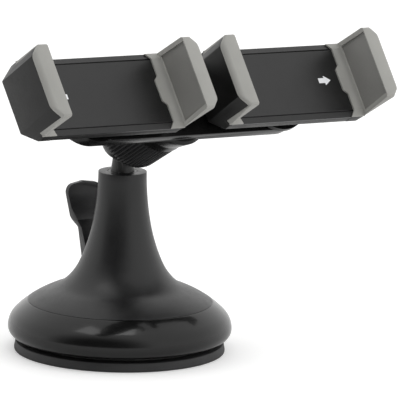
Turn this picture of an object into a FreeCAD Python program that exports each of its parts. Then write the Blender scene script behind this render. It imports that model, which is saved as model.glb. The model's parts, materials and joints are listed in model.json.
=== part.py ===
import FreeCAD, Part
import math
import operator
import os

import Sketcher

# Twin phone mount on a lever-locked suction base.
#
# Frame: the origin is the centre of the suction disc's underside, +Z is up and the phone clamps face
# -Y. The locking lever and what it works are drawn on the +Y side and then turned about Z. The head's
# own parts are drawn in the head frame: its origin is the ball's centre, local Z is the axis of the nut
# and local X runs along the bar. A clamp's parts are drawn in the clamp frame: its origin is the swivel
# axis on the clamp's back, local X runs from the fixed jaw to the sliding jaw and local Z points to the
# phone.

doc = FreeCAD.newDocument("phone_mount")

SIZES = {
    # suction disc and what pulls it
    "disc_radius": 35.3, "disc_lip": 0.4, "disc_thickness": 3.0, "disc_step": 0.8,
    "anchor_radius": 3.5, "anchor_depth": 1.4,
    "flange_radius": 8.0, "flange_thickness": 1.5,
    "backing_radius": 30.5, "backing_thickness": 1.2,
    "stud_radius": 2.5, "stud_height": 30.2,
    "spring_radius": 5.3, "spring_wire": 0.45, "spring_turns": 3.0,
    # skirt ring
    "ring_bottom": 4.4, "ring_foot_radius": 35.0, "ring_radius": 37.5, "ring_waist": 7.9,
    "crown_radius": 35.3, "crown_height": 13.2, "ring_wall": 2.0,
    "seam_radius": 31.0, "seam_height": 16.8, "seam_lap": 3.45, "lap_inset": 1.4,
    # trumpet housing
    "neck_top": 60.9, "neck_radius": 8.1, "throat_height": 43.6, "throat_radius": 9.67,
    "waist_height": 30.0, "waist_radius": 13.9, "bell_height": 23.2, "bell_radius": 19.0,
    "shoulder_height": 21.45, "shoulder_radius": 22.0, "housing_wall": 1.8,
    "socket_floor": 44.0, "socket_web": 3.0, "slot_bottom": 17.4, "slot_top": 37.0,
    "slot_corner": 3.0, "lever_side_gap": 0.8,
    "slot_width": "=lever_stem_width + 2 * lever_side_gap",
    # base plate and its screws
    "plate_bottom": 11.0, "plate_thickness": 2.2, "plate_radius": 32.6, "guide_radius": 4.5,
    "guide_top": 17.0, "base_screw_circle": 22.0, "base_screw_radius": 1.45,
    "base_screw_head": 2.75, "base_screw_head_height": 1.7, "base_screw_length": 6.6,
    "boss_radius": 2.9, "boss_top": 19.2,
    # lever, its pin and the yoke that it lifts
    "lever_turn": -14.0, "pivot_back": 8.5, "pivot_height": 20.5, "lever_pin_radius": 1.5,
    "ear_radius": 3.3, "ear_gap": "=slot_width", "ear_thickness": 2.5, "cam_radius": 3.6,
    "cam_inward": 1.1, "cam_drop": 0.49,
    "lever_stem_width": 9.6, "tab_width": 13.6, "lever_thickness": 3.0,
    "exit_back": 15.6, "exit_height": 30.0, "lever_lean": 0.268, "bend_height": 39.8,
    "bend_rise": 3.6, "bend_offset": 2.5, "tab_top": 53.2, "tab_corner": 3.2, "tab_crown": 0.6,
    "yoke_gap": 0.1, "yoke_thickness": 2.2, "yoke_width": 9.0, "yoke_reach": 8.3,
    "yoke_tail": 4.5, "nut_across_corners": 9.2, "nut_height": 3.5,
    # ball stem
    "ball_height": 71.8, "ball_radius": 7.3, "stem_foot_radius": 4.0, "stem_neck_radius": 3.4,
    "spigot_radius": 5.0, "stem_screw_radius": 1.5, "stem_screw_head": 3.4,
    "stem_screw_head_height": 2.4, "stem_screw_length": 13.0, "stem_bore_depth": 14.0,
    # ball socket, its liners and nut
    "pad_clearance": 0.06, "pad_thickness": 0.84, "pad_half_width": 3.5,
    "seat_thickness": 0.79, "seat_mouth": 1.8, "finger_mouth": 2.2, "socket_wall": 1.24,
    "seat_inner": "=ball_radius + pad_clearance + pad_thickness + running_fit",
    "seat_outer": "=seat_inner + seat_thickness",
    "sleeve_radius": "=seat_outer + running_fit + socket_wall", "sleeve_taper_top": 3.1,
    "finger_slit": 1.2, "finger_depth": 6.0,
    "nut_lip_bottom": -0.5, "nut_lip_wall": 1.0, "nut_lip_radius": "=ball_radius + nut_lip_wall",
    "nut_lip_clearance": 0.12, "nut_thread_fit": 0.15, "nut_bore": "=sleeve_radius + nut_thread_fit",
    "nut_wall": 1.2, "nut_root_radius": "=nut_bore + nut_wall", "rib_height": 0.6,
    "nut_small_radius": "=nut_root_radius + rib_height", "nut_flare": 0.4,
    "nut_large_radius": "=nut_small_radius + nut_flare", "nut_shoulder": 2.6, "nut_rib_top": 16.3,
    "nut_top": 16.8, "rib_count": 60, "groove_width": 0.62,
    "collar_bottom": 17.0, "collar_top": 20.3, "rim_step": 0.2,
    "collar_radius": "=nut_large_radius + rim_step",
    # bar
    "head_tilt": 56.0, "head_roll": -5.1, "bar_back": 26.0, "bar_front": 30.0,
    "bar_half_width": 12.9, "span": 84.4, "hub_rim_radius": "=collar_radius + rim_step",
    "hub_flare": 1.5, "hub_root_radius": "=hub_rim_radius + hub_flare",
    "hub_screw_radius": 1.5, "hub_screw_head": 3.4, "hub_screw_head_height": 2.0,
    "hub_screw_length": 15.0,
    # clamp swivel
    "swivel_gap": 0.05, "swivel_thickness": 1.95, "swivel_radius": 13.8, "shoulder_pin_radius": 3.0,
    "running_fit": 0.06, "swivel_head_radius": 5.0, "swivel_head_height": 1.6,
    "washer_thickness": 0.4, "washer_radius": 4.6, "thread_radius": 2.0, "thread_length": 3.6,
    # clamp body, measured from its back plane
    "clamp_depth": 6.6, "plate_split": 5.2, "plate_edge": 6.0, "back_half_width": 9.6,
    "side_start": 2.6, "clamp_half_width": 13.5, "plate_half_width": 11.4,
    "groove_size": 0.35, "body_end": 27.8, "jaw_gap": 0.12,
    "end_wing": 2.15, "cavity_floor": 1.4, "cavity_half_width": 10.4, "cavity_lap": 0.1,
    "cavity_end": "=jaw_back - corner_cut - cavity_lap", "post_radius": 2.2,
    "post_far": 22.5, "post_near": 17.5, "clamp_screw_radius": 0.95, "clamp_screw_head": 2.0,
    "clamp_screw_head_height": 1.0,
    # jaws and their pads, in the same frame
    "jaw_back": 34.6, "jaw_tip": 37.2, "jaw_lip_height": 19.15, "jaw_base_inner": 32.6,
    "jaw_tip_inner": 33.9, "corner_cut": 4.1, "face_half_width": 9.3, "tip_half_width": 12.9,
    "pad_tip": 20.75, "grip_base": 31.2, "grip_tip": 30.2, "lip_bevel": 0.9, "flange_inner": 27.05,
    "flange_lift": 0.55, "flange_wing": 1.45, "tab_reach": 1.65, "tab_half_base": 5.2,
    "tab_half_tip": 3.8, "panel_depth": 0.6, "panel_border": 1.5, "panel_edge": 0.45,
    # sliding rails and springs
    "rail_inner": 5.4, "rail_outer": 9.4, "rail_bottom": 2.0, "rail_top": 4.7, "rail_end": -6.0,
    "hook_radius": 0.8, "hook_place": 28.2, "coil_radius": 1.45, "coil_wire": 0.3,
    "coil_pitch": 1.25, "coil_margin": 1.0,
    # soft neighbours and flat joints
    "hair": 0.05,
}

sheet = doc.addObject("Spreadsheet::Sheet", "Sizes")
for row, (alias, number) in enumerate(SIZES.items(), start=1):
    sheet.set(f"A{row}", alias)
    sheet.set(f"B{row}", str(number))
    sheet.setAlias(f"B{row}", alias)
doc.recompute()

OPERATIONS = {"+": operator.add, "-": operator.sub, "*": operator.mul, "/": operator.truediv}


class Size:
    """A number together with the sheet expression that gives it."""

    def __init__(self, value, text):
        self.value = value
        self.text = text

    def __add__(self, other):
        return combine(self, "+", other)

    def __sub__(self, other):
        return combine(self, "-", other)

    def __mul__(self, other):
        return combine(self, "*", other)

    def __truediv__(self, other):
        return combine(self, "/", other)

    def __radd__(self, other):
        return combine(other, "+", self)

    def __rsub__(self, other):
        return combine(other, "-", self)

    def __rmul__(self, other):
        return combine(other, "*", self)

    def __neg__(self):
        return combine(0, "-", self)


def as_size(number):
    """Wrap a plain number as a Size; a Size passes through."""
    return number if isinstance(number, Size) else Size(float(number), f"({float(number)})")


def combine(left, symbol, right):
    """Join two sizes with an arithmetic sign, as value and as expression."""
    left = as_size(left)
    right = as_size(right)
    value = OPERATIONS[symbol](left.value, right.value)
    return Size(value, f"({left.text} {symbol} {right.text})")


def leg(long_side, short_side):
    """The other short side of a right triangle: where a circle meets a line."""
    long_side = as_size(long_side)
    short_side = as_size(short_side)
    value = math.sqrt(long_side.value ** 2 - short_side.value ** 2)
    return Size(value, f"sqrt({long_side.text} ^ 2 - {short_side.text} ^ 2)")


class SheetSizes:
    """Reads the sheet's cells as Size values, by alias."""

    def __getattr__(self, alias):
        return Size(float(sheet.get(alias)), f"Sizes.{alias}")


S = SheetSizes()
nodes = {}


# ---------------------------------------------------------------- sketch tools

class Bow:
    """An arc edge of a given radius that turns left (+1) or right (-1)."""

    def __init__(self, radius, turn):
        self.radius = radius
        self.turn = turn


UPRIGHT = "upright"  # an arc that leaves its start straight up or down
FLOW = "flow"  # an arc that leaves tangent to the edge before it


def bind(thing, name, size):
    """Tie a property or a constraint of thing to the sheet."""
    thing.setExpression(name, as_size(size).text)


def constrain(sketch, kind, places, size):
    """Add a dimension to a sketch and tie it to the sheet."""
    size = as_size(size)
    index = sketch.addConstraint(Sketcher.Constraint(kind, *places, size.value))
    bind(sketch, f"Constraints[{index}]", size)


def place_point(sketch, edge, end, x, y):
    """Fix one point of an edge at (x, y) from the sketch's origin."""
    for kind, axis, size in (("DistanceX", -2, as_size(x)), ("DistanceY", -1, as_size(y))):
        if abs(size.value) < 1e-9:
            sketch.addConstraint(Sketcher.Constraint("PointOnObject", edge, end, axis))
        else:
            constrain(sketch, kind, (-1, 1, edge, end), size)


def edge_end(sketch, edge, point):
    """Which end of an edge, 1 or 2, lies at point: arcs are stored anticlockwise."""
    near = sketch.getPoint(edge, 1).distanceToPoint(point)
    far = sketch.getPoint(edge, 2).distanceToPoint(point)
    return 1 if near < far else 2


def draw_edge(start, end, shape, heading):
    """The curve from start to end, and the direction in which it arrives."""
    chord = end - start
    along = FreeCAD.Vector(chord).normalize()
    if shape is None:
        return Part.LineSegment(start, end), along
    left = FreeCAD.Vector(-along.y, along.x, 0)
    half = chord.Length / 2
    if isinstance(shape, Bow):
        reach = as_size(shape.radius).value
        swing = shape.turn * math.asin(min(1.0, half / reach))
    else:
        if shape == UPRIGHT:
            heading = FreeCAD.Vector(0, math.copysign(1, chord.y), 0)
        swing = math.atan2(heading.x * along.y - heading.y * along.x, heading.dot(along))
    middle = (start + end) / 2 - left * half * math.tan(swing / 2)
    arrival = along * math.cos(swing) + left * math.sin(swing)
    return Part.Arc(start, middle, end), arrival


def outline(sketch, points):
    """Close a chain of edges through points (x, y) or (x, y, shape of the edge that leaves it)."""
    places = [(as_size(p[0]), as_size(p[1])) for p in points]
    shapes = [p[2] if len(p) > 2 else None for p in points]
    vectors = [FreeCAD.Vector(x.value, y.value, 0) for x, y in places]
    count = len(points)
    heading = None
    edges = []
    for index in range(count):
        following = vectors[(index + 1) % count]
        curve, heading = draw_edge(vectors[index], following, shapes[index], heading)
        edges.append(sketch.addGeometry(curve))
    starts = [edge_end(sketch, edges[i], vectors[i]) for i in range(count)]
    for index in range(count):
        edge = edges[index]
        place_point(sketch, edge, starts[index], *places[index])
        shape = shapes[index]
        before = (edges[index - 1], 3 - starts[index - 1], edge, starts[index])
        sketch.addConstraint(Sketcher.Constraint("Tangent" if shape == FLOW else "Coincident", *before))
        if shape == UPRIGHT:
            sketch.addConstraint(Sketcher.Constraint("Horizontal", edge, 3, edge, starts[index]))
        if isinstance(shape, Bow):
            constrain(sketch, "Radius", (edge,), shape.radius)
    return sketch


def circle(sketch, x, y, radius):
    """Add a circle to a sketch."""
    centre = FreeCAD.Vector(as_size(x).value, as_size(y).value, 0)
    edge = sketch.addGeometry(Part.Circle(centre, FreeCAD.Vector(0, 0, 1), as_size(radius).value))
    constrain(sketch, "Radius", (edge,), radius)
    place_point(sketch, edge, 3, x, y)
    return sketch


def box_points(low_x, low_y, high_x, high_y):
    """The four corners of a rectangle."""
    return [(low_x, low_y), (high_x, low_y), (high_x, high_y), (low_x, high_y)]


def mirrored(points):
    """A chain of points on the right, followed by its mirror image on the left."""
    return points + [(-as_size(x), y) for x, y in reversed(points)]


# ---------------------------------------------------------------- PartDesign tools

def make_body(name):
    """A new body that becomes the node of the same name."""
    body = doc.addObject("PartDesign::Body", name)
    body.Label = name
    nodes[name] = body
    return body


def body_sketch(body, role):
    """A sketch on one of the body's own origin planes."""
    sketch = body.newObject("Sketcher::SketchObject", f"{body.Name}_sketch")
    plane = next(f for f in body.Origin.OriginFeatures if f.Role == role)
    sketch.AttachmentSupport = [(plane, "")]
    sketch.MapMode = "FlatFace"
    return sketch


def revolve(body, points):
    """Turn an outline of (radius, height) points about the body's Z axis."""
    sketch = outline(body_sketch(body, "XZ_Plane"), points)
    turned = body.newObject("PartDesign::Revolution", f"{body.Name}_turned")
    turned.Profile = (sketch, [""])
    turned.ReferenceAxis = (sketch, ["V_Axis"])
    turned.Angle = 360
    return turned


def pad(body, sketch, length, symmetric=False):
    """Raise a sketch along its normal."""
    raised = body.newObject("PartDesign::Pad", f"{body.Name}_pad")
    raised.Profile = (sketch, [""])
    raised.SideType = "Symmetric" if symmetric else "One side"
    bind(raised, "Length", length)
    return raised


def pocket(body, sketch, length, symmetric=False, along_normal=False):
    """Sink a sketch into the body and make sure that it removes material."""
    doc.recompute()
    before = body.Shape.Volume
    sunk = body.newObject("PartDesign::Pocket", f"{body.Name}_pocket")
    sunk.Profile = (sketch, [""])
    sunk.SideType = "Symmetric" if symmetric else "One side"
    sunk.Reversed = along_normal
    bind(sunk, "Length", length)
    doc.recompute()
    if body.Shape.Volume > before - 1e-6:
        raise ValueError(f"{sunk.Label} removes nothing")
    return sunk


def repeat_round(body, feature, count):
    """Repeat a feature about the body's Z axis."""
    pattern = body.newObject("PartDesign::PolarPattern", f"{body.Name}_pattern")
    pattern.Originals = [feature]
    axis = next(f for f in body.Origin.OriginFeatures if f.Role == "Z_Axis")
    pattern.Axis = (axis, [""])
    pattern.Angle = 360
    bind(pattern, "Occurrences", count)
    body.Tip = pattern
    return pattern


# ---------------------------------------------------------------- Part tools

def turn_about(axis, degrees):
    """A rotation about a frame axis."""
    return FreeCAD.Rotation(FreeCAD.Vector(*axis), degrees)


SIDEWAYS = FreeCAD.Rotation(FreeCAD.Vector(1, 0, 0), 90)
PLANES = {
    "XY": FreeCAD.Rotation(),
    "XZ": SIDEWAYS,
    "YZ": FreeCAD.Rotation(FreeCAD.Vector(0, 0, 1), 90).multiply(SIDEWAYS),
}


def loose_sketch(name, plane):
    """A sketch that stands in one of the frame's planes."""
    sketch = doc.addObject("Sketcher::SketchObject", f"{name}_sketch")
    sketch.Placement = FreeCAD.Placement(FreeCAD.Vector(), PLANES[plane])
    return sketch


def prism(name, plane, points, length, start=None):
    """Draw out a closed outline: both ways from its plane, or one way from start."""
    sketch = outline(loose_sketch(name, plane), points)
    drawn = doc.addObject("Part::Extrusion", f"{name}_prism")
    drawn.Base = sketch
    drawn.DirMode = "Normal"
    drawn.Solid = True
    drawn.Symmetric = start is None
    bind(drawn, "LengthFwd", length)
    if start is not None:
        normal = {"XY": "z", "YZ": "x"}[plane]
        bind(sketch, f"Placement.Base.{normal}", start)
    return drawn


def rod(name, radius, length, x=0, y=0, z=0, axis="Z"):
    """A round bar from (x, y, z) along an axis."""
    bar = doc.addObject("Part::Cylinder", f"{name}_rod")
    bind(bar, "Radius", radius)
    bind(bar, "Height", length)
    turn = {"Z": FreeCAD.Rotation(), "X": FreeCAD.Rotation(FreeCAD.Vector(0, 1, 0), 90)}[axis]
    bar.Placement = FreeCAD.Placement(FreeCAD.Vector(), turn)
    for letter, size in (("x", x), ("y", y), ("z", z)):
        bind(bar, f"Placement.Base.{letter}", size)
    return bar


def joined(name, parts):
    """The union of several solids."""
    union = doc.addObject("Part::MultiFuse", f"{name}_union")
    union.Shapes = parts
    return union


def shared(name, parts):
    """What several solids have in common."""
    common = doc.addObject("Part::MultiCommon", f"{name}_common")
    common.Shapes = parts
    return common


def less(name, base, tools):
    """A solid with tools cut away; the cut has to remove something."""
    for index, tool in enumerate(tools):
        doc.recompute()
        before = base.Shape.Volume
        result = doc.addObject("Part::Cut", f"{name}_cut{index}")
        result.Base = base
        result.Tool = tool
        doc.recompute()
        if result.Shape.Volume > before - 1e-6:
            raise ValueError(f"{result.Label} removes nothing")
        base = result
    return base


def keep(name, thing):
    """Register a finished solid as a node."""
    thing.Label = name
    nodes[name] = thing
    return thing


def group(name, parts):
    """Several separate solids that share one node."""
    compound = doc.addObject("Part::Compound", f"{name}_group")
    compound.Links = parts
    return keep(name, compound)


def screw(name, head_radius, head_height, shank_radius, length, x=0, y=0, z=0):
    """A cross-head screw that points up: its head ends at z and its shank rises from there."""
    head = rod(f"{name}_head", head_radius, head_height, x, y, z - head_height)
    shank = rod(f"{name}_shank", shank_radius, length, x, y, z)
    solid = joined(name, [head, shank])
    depth = head_height * 0.6
    arm = head_radius * 0.6
    thin = head_radius * 0.14
    slots = []
    for wide, narrow in ((arm, thin), (thin, arm)):
        corners = box_points(x - wide, y - narrow, x + wide, y + narrow)
        slots.append(prism(f"{name}_slot", "XY", corners, depth, z - head_height))
    return less(name, solid, [joined(f"{name}_cross", slots)])


# ---------------------------------------------------------------- suction disc and stud

def suction_disc():
    """The flat rubber disc with a pocket that holds the stud's anchor."""
    top = S.disc_thickness
    revolve(make_body("suction_disc"), [
        (0, 0), (S.disc_radius, 0), (S.disc_radius, S.disc_step),
        (S.disc_radius - S.disc_lip, top), (S.anchor_radius, top),
        (S.anchor_radius, top - S.anchor_depth), (0, top - S.anchor_depth),
    ])


def backing_plate():
    """The stiff plate bonded to the disc around the stud's flange."""
    revolve(make_body("backing_plate"), box_points(
        S.flange_radius + S.hair, S.disc_thickness,
        S.backing_radius, S.disc_thickness + S.backing_thickness))


def pull_stud():
    """The metal stud: anchor in the rubber, flange on it, shaft through the guide."""
    top = S.disc_thickness
    revolve(make_body("pull_stud"), [
        (0, top - S.anchor_depth), (S.anchor_radius, top - S.anchor_depth),
        (S.anchor_radius, top), (S.flange_radius, top),
        (S.flange_radius, top + S.flange_thickness), (S.stud_radius, top + S.flange_thickness),
        (S.stud_radius, S.stud_height), (0, S.stud_height),
    ])


def return_spring():
    """The coil between the stud's flange and the base plate."""
    body = make_body("return_spring")
    sketch = body_sketch(body, "XZ_Plane")
    foot = S.disc_thickness + S.flange_thickness + S.hair + S.spring_wire
    room = S.plate_bottom - S.hair - S.spring_wire - foot
    circle(sketch, S.spring_radius, foot, S.spring_wire)
    coil = body.newObject("PartDesign::AdditiveHelix", "return_spring_coil")
    coil.Profile = (sketch, [""])
    coil.ReferenceAxis = (sketch, ["V_Axis"])
    bind(coil, "Pitch", room / S.spring_turns)
    bind(coil, "Height", room)


def stud_yoke():
    """The plate on the stud that the lever's cam pushes up, with the nut that holds it."""
    bottom = S.pivot_height - S.cam_drop + S.cam_radius + S.yoke_gap
    plate = prism("stud_yoke", "XY", box_points(
        -S.yoke_width / 2, -S.yoke_tail, S.yoke_width / 2, S.yoke_reach), S.yoke_thickness, bottom)
    bore = rod("stud_yoke_bore", S.stud_radius + S.hair, S.yoke_thickness * 3, 0, 0,
               bottom - S.yoke_thickness)
    keep("stud_yoke", less("stud_yoke", plate, [bore]))
    hexagon = doc.addObject("Part::Prism", "stud_nut_hexagon")
    hexagon.Polygon = 6
    bind(hexagon, "Circumradius", S.nut_across_corners / 2)
    bind(hexagon, "Height", S.nut_height)
    bind(hexagon, "Placement.Base.z", bottom + S.yoke_thickness)
    bore = rod("stud_nut_bore", S.stud_radius, S.nut_height * 2, 0, 0, bottom)
    keep("stud_nut", less("stud_nut", hexagon, [bore]))


# ---------------------------------------------------------------- base

def base_ring():
    """The glossy skirt ring, trapped between the housing's rim and the base plate."""
    inner = S.ring_foot_radius - S.ring_wall
    ledge = S.plate_bottom + S.plate_thickness + S.hair
    lap = S.seam_radius - S.lap_inset + S.hair * 3
    bulge = S.ring_radius - S.ring_wall * 1.4
    revolve(make_body("base_ring"), [
        (S.ring_radius, S.ring_waist, UPRIGHT), (S.crown_radius, S.crown_height, FLOW),
        (S.seam_radius, S.seam_height - S.hair), (lap, S.seam_height - S.hair),
        (lap, ledge), (inner, ledge), (bulge, S.ring_waist + 1.5), (bulge, S.ring_waist - 0.5),
        (inner, S.ring_bottom), (S.ring_foot_radius, S.ring_bottom, Bow(S.ring_radius / 10, 1)),
    ])


def cone_housing():
    """The satin trumpet: shell, stem socket, screw bosses and the lever's slot."""
    body = make_body("cone_housing")
    lap = S.seam_radius - S.lap_inset
    floor = S.socket_floor - S.socket_web
    wall = S.housing_wall
    revolve(body, [
        (S.neck_radius, S.neck_top, UPRIGHT), (S.throat_radius, S.throat_height, FLOW),
        (S.waist_radius, S.waist_height, FLOW), (S.bell_radius, S.bell_height, FLOW),
        (S.shoulder_radius, S.shoulder_height, FLOW), (S.seam_radius, S.seam_height),
        (lap, S.seam_height), (lap, S.seam_height - S.seam_lap),
        (lap - wall, S.seam_height - S.seam_lap), (lap - wall, S.seam_height - 1),
        (S.shoulder_radius, S.shoulder_height - wall * 1.4),
        (S.bell_radius - wall * 0.8, S.bell_height - wall),
        (S.waist_radius - wall, S.waist_height - wall * 0.6),
        (S.throat_radius - wall, floor), (S.stem_screw_radius + S.hair, floor),
        (S.stem_screw_radius + S.hair, S.socket_floor), (S.spigot_radius + S.hair, S.socket_floor),
        (S.spigot_radius + S.hair, S.neck_top),
    ])
    boss_bottom = S.plate_bottom + S.plate_thickness + S.hair
    boss = body_sketch(body, "XY_Plane")
    bind(boss, "AttachmentOffset.Base.z", boss_bottom)
    circle(boss, 0, -S.base_screw_circle, S.boss_radius)
    circle(boss, 0, -S.base_screw_circle, S.base_screw_radius + S.hair)
    repeat_round(body, pad(body, boss, S.boss_top - boss_bottom), 3)
    slot = body_sketch(body, "XZ_Plane")
    half = S.slot_width / 2
    corner = S.slot_corner
    outline(slot, [
        (-half, S.slot_bottom), (half, S.slot_bottom), (half, S.slot_top - corner, Bow(corner, 1)),
        (half - corner, S.slot_top), (corner - half, S.slot_top, Bow(corner, 1)),
        (-half, S.slot_top - corner),
    ])
    body.Tip = pocket(body, slot, S.ring_radius)


def base_plate():
    """The plate under the housing, with the stud's guide and the lever's two ears."""
    body = make_body("base_plate")
    top = S.plate_bottom + S.plate_thickness
    bore = S.stud_radius + S.hair
    revolve(body, [
        (bore, S.plate_bottom), (S.plate_radius, S.plate_bottom), (S.plate_radius, top),
        (S.guide_radius, top), (S.guide_radius, S.guide_top), (bore, S.guide_top),
    ])
    front = S.pivot_back - S.ear_radius
    rear = S.pivot_back + S.ear_radius
    width = S.ear_gap + S.ear_thickness * 2
    ears = body_sketch(body, "YZ_Plane")
    outline(ears, [
        (front, top - 0.5), (rear, top - 0.5), (rear, S.pivot_height, Bow(S.ear_radius, 1)),
        (S.pivot_back, S.pivot_height + S.ear_radius, Bow(S.ear_radius, 1)), (front, S.pivot_height),
    ])
    pad(body, ears, width, symmetric=True)
    gap = body_sketch(body, "YZ_Plane")
    outline(gap, box_points(S.guide_radius + 0.3, top, rear + 1, S.pivot_height + S.ear_radius + 1))
    pocket(body, gap, S.ear_gap, symmetric=True)
    hole = body_sketch(body, "YZ_Plane")
    circle(hole, S.pivot_back, S.pivot_height, S.lever_pin_radius + S.hair)
    pocket(body, hole, width * 2, symmetric=True)
    screws = body_sketch(body, "XY_Plane")
    circle(screws, 0, -S.base_screw_circle, S.base_screw_radius + S.hair)
    repeat_round(body, pocket(body, screws, top * 2, along_normal=True), 3)


def base_screws():
    """Three screws that draw the base plate up to the housing."""
    screws = []
    for index in range(3):
        one = screw(f"base_screw{index}", S.base_screw_head, S.base_screw_head_height,
                    S.base_screw_radius, S.base_screw_length, 0, -S.base_screw_circle, S.plate_bottom)
        one.Placement = FreeCAD.Placement(
            FreeCAD.Vector(), FreeCAD.Rotation(FreeCAD.Vector(0, 0, 1), 120 * index))
        screws.append(one)
    group("base_screws", screws)


def lever_pin():
    """The steel axle that crosses the ears and the lever's hub."""
    width = S.ear_gap + S.ear_thickness * 2
    group("lever_pin", [rod("lever_pin", S.lever_pin_radius, width, -width / 2,
                            S.pivot_back, S.pivot_height, axis="X")])


def lock_lever():
    """The lever: cam hub, arm through the slot, step outward and a rounded tab."""
    half = S.lever_thickness / 2
    step = S.bend_height + S.bend_rise
    lean = S.lever_lean
    at_bend = S.exit_back + lean * (S.bend_height - S.exit_height)
    at_step = at_bend + S.bend_offset + lean * S.bend_rise
    at_top = at_step + lean * (S.tab_top - step)
    side = prism("lever_side", "YZ", [
        (S.pivot_back - half, S.pivot_height + 1), (S.pivot_back + half, S.pivot_height - 1),
        (S.exit_back + half, S.exit_height - half), (at_bend + half, S.bend_height - half),
        (at_step + half, step - half), (at_top + half, S.tab_top + 1), (at_top - half, S.tab_top + 1),
        (at_step - half, step + half), (at_bend - half, S.bend_height + half),
        (S.exit_back - half, S.exit_height + half),
    ], S.tab_width)
    stem = S.lever_stem_width / 2
    wide = S.tab_width / 2
    corner = S.tab_corner
    shoulder = S.tab_top - S.tab_crown
    front = prism("lever_front", "XZ", [
        (-stem, S.pivot_height - 2), (stem, S.pivot_height - 2), (stem, S.bend_height - 1),
        (wide, S.bend_height + 1), (wide, shoulder - corner, Bow(corner, 1)),
        (wide - corner, shoulder), (0, S.tab_top), (corner - wide, shoulder, Bow(corner, 1)),
        (-wide, shoulder - corner), (-wide, S.bend_height + 1), (-stem, S.bend_height - 1),
    ], S.ring_radius * 4)
    hub_width = S.ear_gap - 0.4
    cam = rod("lever_cam", S.cam_radius, hub_width, -hub_width / 2,
              S.pivot_back - S.cam_inward, S.pivot_height - S.cam_drop, axis="X")
    bore = rod("lever_bore", S.lever_pin_radius + S.running_fit, S.tab_width * 2, -S.tab_width,
               S.pivot_back, S.pivot_height, axis="X")
    solid = joined("lock_lever", [shared("lever_arm", [side, front]), cam])
    keep("lock_lever", less("lock_lever", solid, [bore]))


# ---------------------------------------------------------------- ball joint

def ball_stem():
    """The ball and its stem, on a spigot that plugs into the neck."""
    stem_top = S.ball_height - leg(S.ball_radius, S.stem_neck_radius)
    foot = S.socket_floor + S.hair
    bore = S.stem_screw_radius
    revolve(make_body("ball_stem"), [
        (bore, foot), (S.spigot_radius, foot), (S.spigot_radius, S.neck_top),
        (S.stem_foot_radius, S.neck_top), (S.stem_neck_radius, stem_top, Bow(S.ball_radius, 1)),
        (0, S.ball_height + S.ball_radius), (0, foot + S.stem_bore_depth),
        (bore, foot + S.stem_bore_depth),
    ])


def stem_screw():
    """The screw under the neck's web that holds the stem down."""
    keep("stem_screw", screw("stem_screw", S.stem_screw_head, S.stem_screw_head_height,
                             S.stem_screw_radius, S.stem_screw_length, 0, 0,
                             S.socket_floor - S.socket_web))


def ball_pad():
    """The friction cap on top of the ball; it turns about the stem's axis."""
    inner = S.ball_radius + S.pad_clearance
    outer = inner + S.pad_thickness
    edge = S.pad_half_width
    body = make_body("ball_pad")
    revolve(body, [
        (0, inner, Bow(inner, -1)), (edge, leg(inner, edge)), (edge, leg(outer, edge), Bow(outer, 1)),
        (0, outer),
    ])


def ball_seat():
    """The nylon cup between the pad and the socket; it tilts with the head."""
    inner = S.seat_inner
    outer = S.seat_outer
    mouth = S.seat_mouth
    revolve(make_body("ball_seat"), [
        (leg(inner, mouth), mouth), (leg(outer, mouth), mouth, Bow(outer, 1)), (0, outer),
        (0, inner, Bow(inner, -1)),
    ])


def socket_cup():
    """The socket: split fingers round the seat, a sleeve for the nut and a collar on the bar."""
    body = make_body("socket_cup")
    inner = S.seat_outer + S.running_fit
    mouth = S.finger_mouth
    tip = S.sleeve_radius - S.sleeve_taper_top + mouth
    bore = S.hub_screw_radius
    bore_end = inner + 1.2
    revolve(body, [
        (leg(inner, mouth), mouth), (tip, mouth), (S.sleeve_radius, S.sleeve_taper_top),
        (S.sleeve_radius, S.collar_bottom), (S.collar_radius, S.collar_bottom),
        (S.collar_radius, S.collar_top), (bore, S.collar_top), (bore, bore_end), (0, bore_end),
        (0, inner, Bow(inner, -1)),
    ])
    slit = body_sketch(body, "XZ_Plane")
    half = S.finger_slit / 2
    outline(slit, box_points(-half, 0, half, S.finger_depth))
    cut = pocket(body, slit, S.collar_radius * 2, symmetric=True)
    repeat_round(body, cut, 4)


def lock_nut():
    """The ribbed nut that squeezes the socket's fingers on the ball."""
    body = make_body("lock_nut")
    ball_side = S.ball_radius + S.nut_lip_clearance
    root = S.nut_root_radius
    revolve(body, [
        (leg(ball_side, S.nut_lip_bottom), S.nut_lip_bottom), (S.nut_lip_radius, S.nut_lip_bottom),
        (root, S.nut_shoulder - 0.1), (S.nut_small_radius, S.nut_shoulder + 0.3),
        (S.nut_large_radius, S.nut_rib_top), (S.nut_large_radius - 0.4, S.nut_top),
        (S.nut_bore, S.nut_top), (S.nut_bore, S.nut_bore - ball_side), (ball_side, 0),
    ])
    groove = body_sketch(body, "XY_Plane")
    half = S.groove_width / 2
    outline(groove, [
        (half / 2, root), (half, S.nut_large_radius + 0.3), (-half, S.nut_large_radius + 0.3),
        (-half / 2, root),
    ])
    cut = pocket(body, groove, S.nut_rib_top, along_normal=True)
    repeat_round(body, cut, S.rib_count)


# ---------------------------------------------------------------- bar

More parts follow.
